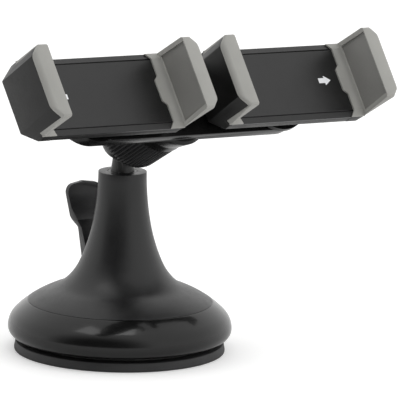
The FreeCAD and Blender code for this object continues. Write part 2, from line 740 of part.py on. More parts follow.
def head_bar():
    """The flat bar with round ends, on a flared hub that seats on the socket's collar."""
    body = make_body("head_bar")
    back = S.bar_back
    revolve(body, [
        (S.hub_screw_radius + S.hair, S.collar_top), (S.hub_rim_radius, S.collar_top),
        (S.hub_root_radius, back), (S.hub_root_radius - 1, back + 0.6),
        (S.hub_screw_radius + S.hair, back + 0.6),
    ])
    half = S.bar_half_width
    arm = S.span / 2
    strip = body_sketch(body, "XY_Plane")
    bind(strip, "AttachmentOffset.Base.z", back)
    outline(strip, [
        (-arm, -half), (arm, -half, Bow(half, 1)), (arm + half, 0, Bow(half, 1)), (arm, half),
        (-arm, half, Bow(half, 1)), (-arm - half, 0, Bow(half, 1)),
    ])
    for side in (-1, 1):
        circle(strip, arm * side, 0, S.shoulder_pin_radius + S.running_fit)
    circle(strip, 0, 0, S.hub_screw_radius + S.hair)
    pad(body, strip, S.bar_front - back)
    recess = body_sketch(body, "XY_Plane")
    bind(recess, "AttachmentOffset.Base.z", S.bar_front)
    circle(recess, 0, 0, S.hub_screw_head + S.hair)
    body.Tip = pocket(body, recess, S.hub_screw_head_height)


def hub_screw():
    """The screw that pulls the socket onto the bar's hub, sunk in the bar's face."""
    seat = S.bar_front - S.hub_screw_head_height
    one = screw("hub_screw", S.hub_screw_head, S.hub_screw_head_height - S.hair,
                S.hub_screw_radius, S.hub_screw_length)
    one.Placement = FreeCAD.Placement(FreeCAD.Vector(0, 0, seat.value),
                                      FreeCAD.Rotation(FreeCAD.Vector(1, 0, 0), 180))
    return group("hub_screw", [one])


# ---------------------------------------------------------------- clamps

def body_section():
    """The clamp's cross-section across the bar: bevelled front and back edges."""
    wide = S.clamp_half_width
    return mirrored([
        (S.back_half_width, 0), (wide, S.side_start), (wide, S.plate_edge),
        (S.plate_half_width, S.clamp_depth),
    ])


def jaw_front_outline():
    """A jaw seen along the bar: full width at the plate, a little narrower at the tip."""
    wide = S.clamp_half_width
    return mirrored([
        (S.back_half_width, 0), (wide, S.side_start), (wide, S.plate_edge),
        (S.tip_half_width, S.pad_tip),
    ])


def jaw_bounds(name):
    """Two prisms that bound a jaw: its front outline, and a plan with cut outer corners."""
    face = S.face_half_width
    side = face + (S.clamp_half_width - face) * 2
    plan = prism(f"{name}_plan", "XY", [
        (0, -face), (0, face), (-S.corner_cut * 2, side), (-S.jaw_tip * 2, side),
        (-S.jaw_tip * 2, -side), (-S.corner_cut * 2, -side),
    ], S.jaw_tip * 4)
    lean = S.jaw_tip - S.jaw_back
    sketch = plan.Base
    turn = turn_about((0, 1, 0), math.degrees(math.atan(lean.value / S.jaw_lip_height.value)))
    sketch.Placement = FreeCAD.Placement(FreeCAD.Vector(S.jaw_back.value, 0, 0), turn)
    bind(sketch, "Placement.Base.x", S.jaw_back)
    sketch.setExpression("Placement.Rotation.Angle", f"atan({lean.text} / {S.jaw_lip_height.text})")
    return [prism(f"{name}_front", "YZ", jaw_front_outline(), S.jaw_tip * 4), plan]


def end_plan(name, end):
    """The clamp's plan up to its sliding end, whose bevelled corners stop short."""
    side = S.plate_half_width + (S.clamp_half_width - S.plate_half_width) * 2
    wing = end - S.end_wing * 2
    return prism(f"{name}_end", "XY", [
        (-S.jaw_tip * 2, -side), (wing, -side), (end, -S.plate_half_width),
        (end, S.plate_half_width), (wing, side), (-S.jaw_tip * 2, side),
    ], S.jaw_tip)


def jaw_shell_wedge(name, inner_edge):
    """The hard outer shell of a jaw, from its foot at inner_edge up to the lip."""
    return prism(name, "XZ", [
        (inner_edge, 0), (S.jaw_back, 0), (S.jaw_tip, S.jaw_lip_height),
        (S.jaw_tip_inner, S.jaw_lip_height), (S.jaw_base_inner, S.clamp_depth + S.hair),
        (S.jaw_base_inner, S.plate_edge - 0.1), (inner_edge, S.plate_edge - 0.1),
    ], S.clamp_half_width * 2)


def clamp_shell(side):
    """The back tray of a clamp in one piece with its fixed jaw's outer shell."""
    name = f"{side}_clamp_shell"
    end = S.body_end
    start = S.corner_cut - S.jaw_back
    tray = shared(name, [
        prism(name, "YZ", body_section(), end - start, start),
        prism(name, "XZ", box_points(-S.jaw_tip, -1, end, S.plate_split), S.clamp_half_width * 3),
        end_plan(name, end),
    ])
    fixed = doc.addObject("Part::Mirroring", f"{name}_fixed_jaw")
    wedge = jaw_shell_wedge(f"{name}_wedge", S.cavity_end)
    fixed.Source = shared(f"{name}_jaw", [wedge, *jaw_bounds(name)])
    fixed.Normal = FreeCAD.Vector(1, 0, 0)
    floor = S.cavity_floor
    cavity = prism(f"{name}_cavity", "YZ", box_points(
        -S.cavity_half_width, floor, S.cavity_half_width, S.plate_split + 1),
        S.cavity_end * 2 - 1, -S.cavity_end)
    hollow = less(name, joined(name, [tray, fixed]), [cavity])
    boss_top = S.rail_top
    boss = rod(f"{name}_boss", S.swivel_head_radius, boss_top, 0, 0, 0)
    hooks = []
    for sign in (-1, 1):
        middle = (S.rail_inner + S.rail_outer) / 2
        hooks.append(rod(f"{name}_hook", S.hook_radius, S.rail_top, -S.hook_place, middle * sign, 0))
    solid = joined(name, [hollow, boss, *hooks])
    cuts = [rod(f"{name}_thread", S.thread_radius, S.thread_length + S.hair, 0, 0, 0)]
    for place in (-S.post_far, S.post_near):
        cuts.append(rod(f"{name}_shank", S.clamp_screw_radius + S.hair, S.plate_split, place, 0, 0))
        cuts.append(rod(f"{name}_head", S.clamp_screw_head + S.hair, S.clamp_screw_head_height,
                        place, 0, 0))
    return keep(name, less(name, solid, cuts))


def clamp_plate(side):
    """The flat front plate with two groove lines, on posts that take the clamp's screws."""
    name = f"{side}_clamp_plate"
    low = S.plate_split + S.hair
    start = S.hair - S.cavity_end
    length = S.body_end - start
    slab = shared(name, [
        prism(name, "YZ", body_section(), length, start),
        prism(name, "XZ", box_points(-S.jaw_tip, low, S.jaw_tip, S.clamp_depth + 1),
              S.clamp_half_width * 3),
        end_plan(name, S.body_end),
    ])
    groove = S.groove_size
    line = S.plate_half_width
    grooves = []
    for sign in (-1, 1):
        grooves.append(prism(f"{name}_groove", "YZ", [
            (line * sign - groove, S.clamp_depth + 0.1), (line * sign, S.clamp_depth - groove),
            (line * sign + groove, S.clamp_depth + 0.1)], S.jaw_tip * 3))
    posts = []
    holes = []
    for place in (-S.post_far, S.post_near):
        foot = S.cavity_floor + S.hair
        posts.append(rod(f"{name}_post", S.post_radius, S.plate_split + 0.5 - foot, place, 0, foot))
        holes.append(rod(f"{name}_hole", S.clamp_screw_radius + S.hair, S.plate_edge - foot,
                         place, 0, foot))
    return keep(name, less(name, joined(name, [slab, *posts]), [*grooves, *holes]))


def clamp_screws(side):
    """Two screws from the back of a clamp into the plate's posts."""
    name = f"{side}_clamp_screws"
    length = S.plate_edge - S.clamp_screw_head_height - 0.3
    screws = []
    for place in (-S.post_far, S.post_near):
        screws.append(screw(name, S.clamp_screw_head, S.clamp_screw_head_height,
                            S.clamp_screw_radius, length, place, 0, S.clamp_screw_head_height))
    return group(name, screws)


def jaw_shell(side):
    """The sliding jaw's hard shell: end block, outer wall and two rails into the clamp."""
    name = f"{side}_jaw_shell"
    start = S.body_end + S.jaw_gap
    wing = start - S.end_wing
    full = prism(name, "YZ", body_section(), S.jaw_base_inner - wing, wing)
    block = less(f"{name}_block", full, [end_plan(name, start)])
    wedge = jaw_shell_wedge(f"{name}_wedge", start)
    outer = shared(name, [joined(f"{name}_outer", [block, wedge]), *jaw_bounds(name)])
    rails = []
    for sign in (-1, 1):
        low, high = sorted((S.rail_inner * sign, S.rail_outer * sign), key=lambda size: size.value)
        rails.append(prism(f"{name}_rail", "YZ", box_points(low, S.rail_bottom, high, S.rail_top),
                           start - S.rail_end + 0.5, S.rail_end))
    return keep(name, joined(name, [outer, *rails]))


def pad_flange(name, foot, top):
    """The pad's foot on the plate: a tongue in the middle and bevelled wings at its ends."""
    wide = S.clamp_half_width
    inner = S.flange_inner
    line = S.plate_half_width
    far = S.grip_base + S.panel_depth
    plan = prism(f"{name}_flange", "XY", [
        (far, -wide), (far, wide), (inner - S.flange_wing, wide), (inner, line),
        (inner, S.tab_half_base), (inner - S.tab_reach, S.tab_half_tip),
        (inner - S.tab_reach, -S.tab_half_tip), (inner, -S.tab_half_base), (inner, -line),
        (inner - S.flange_wing, -wide),
    ], top - S.plate_edge, S.plate_edge)
    bevel = prism(f"{name}_flange_bevel", "YZ", mirrored([
        (wide, S.plate_edge), (wide, top - foot + S.plate_edge), (line, top)]), S.jaw_tip * 4)
    return shared(f"{name}_flange", [plan, bevel])


def jaw_pad(name, flip):
    """The rubber pad: inner face with a sunk panel, lip over the tip, flange on the plate."""
    wide = S.clamp_half_width
    foot = S.clamp_depth + S.hair
    flange_top = foot + S.flange_lift
    tip = S.pad_tip
    lip = S.jaw_lip_height + S.hair
    profile = prism(name, "XZ", [
        (S.grip_base, S.plate_edge), (S.jaw_base_inner, S.plate_edge), (S.jaw_base_inner, foot),
        (S.jaw_tip_inner, lip), (S.jaw_tip, lip), (S.jaw_tip - S.lip_bevel, tip),
        (S.grip_tip, tip), (S.grip_base, flange_top),
    ], wide * 2)
    shaped = shared(name, [profile, *jaw_bounds(name)])
    relief = prism(f"{name}_relief", "YZ", mirrored([
        (wide + 1, 0), (wide + 1, S.plate_edge + S.hair),
        (wide, S.plate_edge + S.hair), (S.plate_half_width, foot)]), S.jaw_tip * 4)
    border = S.panel_border
    edge = S.panel_edge
    low = flange_top + edge
    high = tip - edge
    slope = (S.grip_base - S.grip_tip) / (tip - flange_top)
    panel = shared(f"{name}_panel", [
        prism(f"{name}_panel", "XZ", [
            (S.grip_tip - 3, low), (S.grip_base - slope * edge + S.panel_depth, low),
            (S.grip_tip + slope * edge + S.panel_depth, high), (S.grip_tip - 3, high),
        ], wide * 2),
        prism(f"{name}_panel_front", "YZ", mirrored([
            (wide - border, low - 1), (S.tip_half_width - border, high)]), S.jaw_tip * 4),
    ])
    solid = joined(name, [shaped, pad_flange(name, foot, flange_top)])
    solid = less(name, solid, [relief, panel])
    if not flip:
        return keep(name, solid)
    mirror = doc.addObject("Part::Mirroring", f"{name}_mirror")
    mirror.Source = solid
    mirror.Normal = FreeCAD.Vector(1, 0, 0)
    return keep(name, mirror)


def jaw_springs(side):
    """Two extension springs that pull the sliding jaw shut, from the hooks to the rails' ends."""
    name = f"{side}_jaw_springs"
    middle = (S.rail_inner + S.rail_outer) / 2
    height = (S.rail_bottom + S.rail_top) / 2
    start = S.hook_radius + S.coil_wire + S.coil_margin - S.hook_place
    length = S.rail_end - S.coil_wire - S.hair * 2 - start
    coils = []
    for sign in (-1, 1):
        body = doc.addObject("PartDesign::Body", f"{name}_coil")
        sketch = body_sketch(body, "XZ_Plane")
        circle(sketch, S.coil_radius, 0, S.coil_wire)
        coil = body.newObject("PartDesign::AdditiveHelix", f"{name}_helix")
        coil.Profile = (sketch, [""])
        coil.ReferenceAxis = (sketch, ["V_Axis"])
        bind(coil, "Pitch", S.coil_pitch)
        bind(coil, "Height", length)
        body.Placement = FreeCAD.Placement(
            FreeCAD.Vector(start.value, middle.value * sign, height.value),
            FreeCAD.Rotation(FreeCAD.Vector(0, 1, 0), 90))
        coils.append(body)
    return group(name, coils)


def swivel_parts(side):
    """The disc that a clamp turns on, its shoulder screw through the bar and the spring washer."""
    gap_to_bar = S.swivel_gap + S.swivel_thickness
    disc = make_body(f"{side}_swivel_disc")
    revolve(disc, [
        (S.shoulder_pin_radius, -S.swivel_thickness), (S.swivel_radius - 0.4, -S.swivel_thickness),
        (S.swivel_radius, 0.4 - S.swivel_thickness), (S.swivel_radius, 0),
        (S.shoulder_pin_radius, 0),
    ])
    bar_behind = -gap_to_bar - (S.bar_front - S.bar_back)
    washer = make_body(f"{side}_swivel_washer")
    revolve(washer, box_points(S.shoulder_pin_radius + S.hair, bar_behind - S.washer_thickness,
                               S.washer_radius, bar_behind))
    head = bar_behind - S.washer_thickness
    pin = make_body(f"{side}_swivel_screw")
    revolve(pin, [
        (0, head - S.swivel_head_height + 0.8), (1.6, head - S.swivel_head_height + 0.8),
        (1.6, head - S.swivel_head_height), (S.swivel_head_radius, head - S.swivel_head_height),
        (S.swivel_head_radius, head), (S.shoulder_pin_radius, head), (S.shoulder_pin_radius, 0),
        (S.thread_radius, 0), (S.thread_radius, S.thread_length), (0, S.thread_length),
    ])
    return disc, washer, pin


# ---------------------------------------------------------------- assembly

HEAD = FreeCAD.Placement(
    FreeCAD.Vector(0, 0, S.ball_height.value),
    turn_about((1, 0, 0), S.head_tilt.value).multiply(turn_about((0, 0, 1), S.head_roll.value)))


def clamp_place(sign, turn):
    """A clamp's placement: on the bar's end at sign, turned about its own swivel axis."""
    back = S.bar_front + S.swivel_gap + S.swivel_thickness
    local = FreeCAD.Placement(FreeCAD.Vector(sign * S.span.value / 2, 0, back.value),
                              turn_about((0, 0, 1), turn))
    return HEAD.multiply(local)


suction_disc()
backing_plate()
pull_stud()
return_spring()
stud_yoke()
base_ring()
cone_housing()
base_plate()
base_screws()
lever_pin()
lock_lever()
ball_stem()
stem_screw()

for name in ("stud_yoke", "stud_nut", "cone_housing", "base_plate", "base_screws", "lever_pin",
             "lock_lever"):
    nodes[name].Placement = FreeCAD.Placement(
        FreeCAD.Vector(), turn_about((0, 0, 1), S.lever_turn.value))

ball_pad()
nodes["ball_pad"].Placement.Base = HEAD.Base
for build in (ball_seat, socket_cup, lock_nut, head_bar, hub_screw):
    build()
    nodes[build.__name__].Placement = HEAD

for side, sign, turn in (("right", 1, 0), ("left", -1, 180)):
    parts = [
        clamp_shell(side), clamp_plate(side), clamp_screws(side), jaw_shell(side), jaw_springs(side),
        jaw_pad(f"{side}_fixed_pad", flip=True), jaw_pad(f"{side}_jaw_pad", flip=False),
        *swivel_parts(side),
    ]
    for part in parts:
        part.Placement = clamp_place(sign, turn)

doc.recompute()

for thing in doc.Objects:
    faults = {"Invalid", "Error"} & set(thing.State)
    if faults:
        raise ValueError(f"{thing.Label}: {faults}")
for name, thing in nodes.items():
    if thing.Shape.isNull() or not thing.Shape.isValid():
        raise ValueError(f"{name} has no valid shape")

os.makedirs("parts", exist_ok=True)
for name, thing in nodes.items():
    thing.Shape.exportStep(f"parts/{name}.step")
    print(f"{name}: {len(thing.Shape.Solids)} solid(s), {thing.Shape.Volume:.1f} mm3")
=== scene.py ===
"""Looks of a twin phone mount: a lever-locked suction base, a ball joint and two spring clamps.

Everything is in metres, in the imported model's own frame: the origin is the centre of the suction
disc's underside, +Z is up and the phone clamps face -Y.
"""

import json
import logging
import math
from collections.abc import Callable
from dataclasses import dataclass, field
from enum import Enum

import bmesh
import bpy
from mathutils import Matrix, Vector


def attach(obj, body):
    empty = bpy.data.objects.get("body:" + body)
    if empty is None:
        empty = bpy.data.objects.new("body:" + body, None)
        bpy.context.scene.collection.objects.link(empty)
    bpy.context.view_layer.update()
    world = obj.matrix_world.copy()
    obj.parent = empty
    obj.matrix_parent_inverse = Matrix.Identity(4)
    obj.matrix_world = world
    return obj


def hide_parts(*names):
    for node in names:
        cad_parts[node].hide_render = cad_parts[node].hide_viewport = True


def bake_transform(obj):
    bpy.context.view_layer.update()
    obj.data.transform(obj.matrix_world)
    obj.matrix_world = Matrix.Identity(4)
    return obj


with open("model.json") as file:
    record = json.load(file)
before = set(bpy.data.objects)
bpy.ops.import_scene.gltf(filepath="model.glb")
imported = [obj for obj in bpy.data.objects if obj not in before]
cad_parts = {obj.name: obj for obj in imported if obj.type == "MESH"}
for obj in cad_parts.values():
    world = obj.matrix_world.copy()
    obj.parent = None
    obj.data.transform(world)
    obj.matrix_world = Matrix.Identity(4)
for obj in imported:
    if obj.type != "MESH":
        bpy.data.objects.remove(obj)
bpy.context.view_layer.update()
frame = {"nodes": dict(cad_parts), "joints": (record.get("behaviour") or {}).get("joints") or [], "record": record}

LOG = logging.getLogger("phone_mount")
Pair = tuple[float, float]
Triple = tuple[float, float, float]
Socket = bpy.types.NodeSocket
Piece = bpy.types.Object
Mesh = bmesh.types.BMesh
Ring = list[bmesh.types.BMVert]
MM = 0.001
HAIR = 0.01 * MM  # heights or radii that differ by less are the same
WELD = 1e-7  # metres; corners nearer than this are one
FLAT_WITHIN = math.radians(0.4)  # triangles that turn less are one flat face
LEFT_SHARP = math.radians(18.0)  # edges that turn less are not rounded
SHORTEST = 1.2  # an edge shorter than this many roundings is not rounded
MOULDED_SMOOTH = 32.0  # degrees; a moulded piece's faces that meet at less shade as one
CLAMP_BACK = 32.0 * MM  # how far along the head's own axis the clamps' back plane is


# ---- finishes

class Nodes:
    """A shader node tree, with short calls to add and join its nodes."""

    def __init__(self, tree: bpy.types.NodeTree) -> None:
        """Start with an empty tree.

        Args:
            tree: a material's or a world's tree; it is emptied here.
        """
        self.tree = tree
        self.tree.nodes.clear()

    def add(self, kind: str, **values: object) -> bpy.types.Node:
        """Add one shader node and set its plain properties.

        Args:
            kind: the node's type, without its "ShaderNode" prefix.
            values: properties of the node.

        Returns:
            The new node.
        """
        node = self.tree.nodes.new(f"ShaderNode{kind}")
        for name, value in values.items():
            setattr(node, name, value)
        return node

    def feed(self, socket: Socket, value: object) -> None:
        """Join an input to another node's output, or give it a plain value.

        Args:
            socket: the input.
            value: an output or a value.
        """
        if isinstance(value, Socket):
            self.tree.links.new(value, socket)
        else:
            socket.default_value = value

    def spread(self, value: Socket, low: float, high: float, start: float = 0.3,
               end: float = 0.7, easing: str = "LINEAR") -> Socket:
        """Map a value from start..end to low..high, and keep it inside.

        Args:
            value: the value to map.
            low: the result at start and below.
            high: the result at end and above.
            start: where the value leaves low.
            end: where the value reaches high.
            easing: how it goes from one to the other.

        Returns:
            The mapped value.
        """
        node = self.add("MapRange", interpolation_type=easing)
        for name, entry in (("Value", value), ("From Min", start), ("From Max", end),
                            ("To Min", low), ("To Max", high)):
            self.feed(node.inputs[name], entry)
        return node.outputs["Result"]

    def sums(self, first: object, second: object, operation: str = "ADD") -> Socket:
        """Join two numbers by a sum, a product or another arithmetic step.

        Args:
            first: a socket or a number.
            second: a socket or a number.
            operation: the step's name.

        Returns:
            The result.
        """
        node = self.add("Math", operation=operation)
        self.feed(node.inputs[0], first)
        self.feed(node.inputs[1], second)
        return node.outputs[0]


class Graph(Nodes):
    """A new material's tree, with the textures that the finishes share."""

    def __init__(self, name: str) -> None:
        """Start a material that has only its shader and its output.

        Args:
            name: the material's name.
        """
        self.material = bpy.data.materials.new(name)
        self.material.use_nodes = True
        super().__init__(self.material.node_tree)
        output = self.add("OutputMaterial")
        self.shader = self.add("BsdfPrincipled")
        self.feed(output.inputs["Surface"], self.shader.outputs[0])
        self.place = self.add("TexCoord").outputs["Object"]

    def noise(self, size: float, detail: float = 2.0, stretch: Triple = (1, 1, 1)) -> Socket:
        """Cloudy noise whose features are about one size across.

        Args:
            size: the size of a feature, in metres.
            detail: how many finer layers it has.
            stretch: how much longer a feature is along each axis.

        Returns:
            The noise, from 0 to 1.
        """
        mapping = self.add("Mapping")
        self.feed(mapping.inputs["Vector"], self.place)
        mapping.inputs["Scale"].default_value = [1 / s for s in stretch]
        texture = self.add("TexNoise")
        self.feed(texture.inputs["Vector"], mapping.outputs[0])
        texture.inputs["Scale"].default_value = 1 / size
        texture.inputs["Detail"].default_value = detail
        return texture.outputs["Fac"]

    def cells(self, size: float) -> Socket:
        """Pits and beads: the distance to the nearest of many scattered points.

        Args:
            size: how far apart the points are, in metres.

        Returns:
            The distance.
        """
        texture = self.add("TexVoronoi")
        self.feed(texture.inputs["Vector"], self.place)
        texture.inputs["Scale"].default_value = 1 / size
        return texture.outputs["Distance"]

    def blend(self, factor: Socket, first: object, second: object) -> Socket:
        """Mix two colours.

        Args:
            factor: 0 for the first, 1 for the second.
            first: a socket or a colour.
            second: a socket or a colour.

        Returns:
            The mixed colour.
        """
        first_colour, second_colour, mixed = 6, 7, 2  # the node's sockets for colours
        node = self.add("Mix", data_type="RGBA")
        self.feed(node.inputs["Factor"], factor)
        for number, value in ((first_colour, first), (second_colour, second)):
            self.feed(node.inputs[number], (*value, 1.0) if isinstance(value, tuple) else value)
        return node.outputs[mixed]

    def edges(self, reach: float) -> Socket:
        """How near a corner a point is, from 0 on a flat to 1 on an edge.

        Args:
            reach: how far from the corner it is felt, in metres.

        Returns:
            The nearness.
        """
        corner, flat_face = 0.80, 0.985  # cosines between the true and the rounded direction
        rounded = self.add("Bevel", samples=4)
        rounded.inputs["Radius"].default_value = reach
        flat = self.add("NewGeometry")
        turn = self.add("VectorMath", operation="DOT_PRODUCT")
        self.feed(turn.inputs[0], rounded.outputs[0])
        self.feed(turn.inputs[1], flat.outputs["Normal"])
        return self.spread(turn.outputs["Value"], 1.0, 0.0, corner, flat_face)

    def bump(self, height: Socket, depth: float) -> None:
        """Raise the surface.

        Args:
            height: from 0 to 1.
            depth: how far a height of 1 stands out, in metres.
        """
        node = self.add("Bump")
        node.inputs["Distance"].default_value = depth
        self.feed(node.inputs["Height"], height)
        self.feed(self.shader.inputs["Normal"], node.outputs[0])


def grey(level: float) -> Triple:
    """A colour without a hue."""
    return (level, level, level)


@dataclass(frozen=True)
class Moulded:
    """Moulded plastic or rubber: fine grain, handled gloss, lighter edges that are part worn, part painted
    highlight.
    """

    name: str
    colour: Triple
    roughness: float
    grain: float = 0.35 * MM
    grain_depth: float = 0.012 * MM
    uneven: float = 0.06
    # the lighter colour painted on edges: part worn edge, part painted edge highlight
    wear: Triple = grey(0.06)
    wear_share: float = 0.35
    wear_reach: float = 0.35 * MM
    mottle: float = 0.12
    coat: float = 0.0
    gloss: float = 0.5
    cloud: float = 9 * MM
    rub: float = 2.2 * MM
    smears: Pair = (4.5 * MM, 0.9 * MM)
    smeared: Pair = (0.12, 0.42)
    coat_roughness: float = 0.06

    def dress(self, graph: Graph) -> None:
        """Add this finish to a new material.

        Args:
            graph: the material's tree.
        """
        shader = graph.shader.inputs
        clouds = graph.noise(self.cloud, 3.0)
        dark = tuple(c * (1 - self.mottle) for c in self.colour)
        light = tuple(c * (1 + self.mottle) for c in self.colour)
        body = graph.blend(graph.spread(clouds, 0.0, 1.0), dark, light)
        # edges painted lighter in patches: part worn edge, part painted edge highlight
        worn_and_highlit_edges = graph.sums(graph.edges(self.wear_reach),
                            graph.spread(graph.noise(self.rub), 0.3, 1.0), "MULTIPLY")
        worn_and_highlit_edges = graph.sums(worn_and_highlit_edges, self.wear_share, "MULTIPLY")
        graph.feed(shader["Base Color"], graph.blend(worn_and_highlit_edges, body, self.wear))
        wide, fine = self.smears
        handled = graph.sums(graph.noise(wide, 4.0), graph.noise(fine), "MULTIPLY")
        graph.feed(shader["Roughness"], graph.spread(
            handled, self.roughness - self.uneven, self.roughness + self.uneven, *self.smeared))
        beads = graph.sums(graph.cells(self.grain), graph.noise(self.grain * 2.5))
        graph.bump(beads, self.grain_depth)
        shader["Specular IOR Level"].default_value = self.gloss
        shader["Coat Weight"].default_value = self.coat
        shader["Coat Roughness"].default_value = self.coat_roughness


@dataclass(frozen=True)
class Metal:
    """Plated or drawn metal with fine lines, dull patches and a darker film in places."""

    name: str
    colour: Triple
    roughness: float
    line: float = 0.12 * MM
    line_depth: float = 0.004 * MM
    stretch: Triple = (1.0, 1.0, 12.0)
    patch: float = 3.0 * MM
    dulled: float = 0.72
    brighter: float = 0.08
    duller: float = 0.10

    def dress(self, graph: Graph) -> None:
        """Add this finish to a new material.

        Args:
            graph: the material's tree.
        """
        shader = graph.shader.inputs
        shader["Metallic"].default_value = 1.0
        film = graph.spread(graph.noise(self.patch, 3.0), 0.0, 1.0)
        dull = tuple(c * self.dulled for c in self.colour)
        graph.feed(shader["Base Color"], graph.blend(film, dull, self.colour))
        lines = graph.noise(self.line, 2.0, self.stretch)
        graph.feed(shader["Roughness"], graph.spread(
            lines, self.roughness - self.brighter, self.roughness + self.duller))
        graph.bump(lines, self.line_depth)


@dataclass(frozen=True)
class Ink:
    """White pad-printed ink with small thin spots."""

    name: str = "print_white"
    colour: Triple = (0.82, 0.83, 0.85)
    spot: float = 0.35 * MM
    spotted: Pair = (0.62, 0.75)
    worn: float = 0.7
    roughness: Pair = (0.4, 0.6)
    smear: float = 0.6 * MM
    grain: float = 0.2 * MM
    grain_depth: float = 0.004 * MM

    def dress(self, graph: Graph) -> None:
        """Add this finish to a new material.

        Args:
            graph: the material's tree.
        """
        shader = graph.shader.inputs
        thin = graph.spread(graph.noise(self.spot, 3.0), 0.0, 1.0, *self.spotted)
        worn = tuple(c * self.worn for c in self.colour)
        graph.feed(shader["Base Color"], graph.blend(thin, self.colour, worn))
        graph.feed(shader["Roughness"], graph.spread(graph.noise(self.smear), *self.roughness))
        graph.bump(graph.noise(self.grain), self.grain_depth)


class Finish(Enum):
    """Every finish on the mount, by the record's material slot where there is one."""

    DISC_RUBBER = Moulded("disc_rubber", (0.030, 0.030, 0.031), 0.62, 0.5 * MM, 0.02 * MM,
                          wear=grey(0.07), mottle=0.2)
    RING_GLOSS = Moulded("ring_gloss", grey(0.006), 0.18, 1.4 * MM, 0.003 * MM,
                         uneven=0.03, wear_share=0.1, coat=0.18, gloss=0.34)
    HOUSING_SATIN = Moulded("housing_satin", (0.010, 0.010, 0.0105), 0.36, 0.30 * MM, 0.006 * MM,
                            uneven=0.05, wear_share=0.2)
    INNER_PLASTIC = Moulded("inner_plastic", grey(0.10), 0.5)
    LEVER_SATIN = Moulded("lever_satin", (0.013, 0.013, 0.014), 0.36, 0.28 * MM, 0.006 * MM,
                          wear=grey(0.05))
    STEM_BLACK = Moulded("stem_black", grey(0.018), 0.34, 0.5 * MM, 0.006 * MM)
    NUT_BLACK = Moulded("nut_black", (0.005, 0.005, 0.0055), 0.42, 0.25 * MM, 0.006 * MM,
                        wear=grey(0.016), gloss=0.22)
    HEAD_BLACK = Moulded("head_black", grey(0.0045), 0.22, 0.8 * MM, 0.0015 * MM,
                         uneven=0.03, wear=grey(0.02), gloss=0.28)
    NYLON = Moulded("nylon", (0.72, 0.71, 0.66), 0.45, 0.4 * MM, 0.008 * MM, wear=(0.8, 0.8, 0.76),
                    mottle=0.04)
    CLAMP_BLACK = Moulded("clamp_black", (0.0055, 0.0055, 0.0053), 0.42, 0.30 * MM, 0.010 * MM,
                          wear=(0.05, 0.05, 0.048), gloss=0.42)
    PLATE_BLACK = Moulded("plate_black", (0.006, 0.006, 0.0063), 0.37, 0.22 * MM, 0.008 * MM,
                          uneven=0.05, wear=grey(0.04), gloss=0.52)
    PAD_GREY = Moulded("pad_grey", (0.345, 0.342, 0.322), 0.60, 0.28 * MM, 0.014 * MM,
                       wear=(0.41, 0.405, 0.38), wear_share=0.5, mottle=0.05)
    PAD_PANEL = Moulded("pad_panel", (0.245, 0.242, 0.230), 0.55, 0.22 * MM, 0.012 * MM,
                        wear=(0.33, 0.325, 0.31), wear_share=0.3, mottle=0.05)
    STEEL = Metal("steel", (0.62, 0.61, 0.59), 0.26)
    SPRING_STEEL = Metal("spring_steel", (0.52, 0.52, 0.53), 0.32, 0.08 * MM)
    PRINT = Ink()


class Paintbox:
    """Makes each finish's material once and hands it out."""

    def __init__(self) -> None:
        """Start with no material made."""
        self.made: dict[Finish, bpy.types.Material] = {}

    def get(self, finish: Finish) -> bpy.types.Material:
        """The material of a finish, made on its first use.

        Args:
            finish: the finish.

        Returns:
            Its material.
        """
        if finish not in self.made:
            graph = Graph(finish.value.name)
            finish.value.dress(graph)
            self.made[finish] = graph.material
        return self.made[finish]

    def for_slot(self, slot: str) -> bpy.types.Material:
        """The material of the record's slot with that name."""
        return self.get(Finish[slot.upper()])


PAINT = Paintbox()
SLOT_OF = {name: node.data.materials[0].name for name, node in frame["nodes"].items()}
BODY_OF = {name: body for body, names in frame["record"]["behaviour"]["bodies"].items()
           for name in names}


# ---- frames and mesh tools

def joint_fact(name: str, fact: str) -> Vector:
    """A vector that the record gives for a joint, such as its axis or its place."""
    return Vector(next(j for j in frame["joints"] if j["name"] == name)[fact])


def local_frame(origin: Vector, x_axis: Vector, z_axis: Vector) -> Matrix:
    """The matrix of a frame from its origin and two of its axes.

    Args:
        origin: where the frame sits.
        x_axis: roughly its X axis.
        z_axis: its Z axis.

    Returns:
        A matrix from the local frame to the model's frame.
    """
    up = z_axis.normalized()
    side = (x_axis - up * x_axis.dot(up)).normalized()
    axes = Matrix((side, up.cross(side), up)).transposed()
    return Matrix.Translation(origin) @ axes.to_4x4()


NUT_AXIS = joint_fact("nut_turn", "axis")
BAR_AXIS = joint_fact("right_clamp_turn", "pos_m") - joint_fact("left_clamp_turn", "pos_m")
HEAD_FRAME = local_frame(joint_fact("nut_turn", "pos_m"), BAR_AXIS, NUT_AXIS)


def clamp_frame(side: str) -> Matrix:
    """The frame of one clamp, on its swivel axis and at its back plane.

    Args:
        side: "right" or "left".

    Returns:
        A matrix from the clamp's frame, X towards its sliding jaw, to the model's frame.
    """
    slide = joint_fact(f"{side}_jaw_slide", "axis")
    pivot = joint_fact(f"{side}_clamp_turn", "pos_m")
    back = (HEAD_FRAME.inverted() @ pivot).z
    return local_frame(pivot + NUT_AXIS * (CLAMP_BACK - back), slide, NUT_AXIS)


def finish_piece(piece: Piece, body: str, replaced: tuple[str, ...] = ()) -> None:
    """Tie a finished piece to its body and the nodes it stands for.

    Args:
        piece: the piece, with its place in its mesh.
        body: the body it rides on.
        replaced: CAD nodes that it hides.
    """
    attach(piece, body)
    if replaced:
        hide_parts(*replaced)
    LOG.info("%s rides on %s: %d faces", piece.name, body, len(piece.data.polygons))


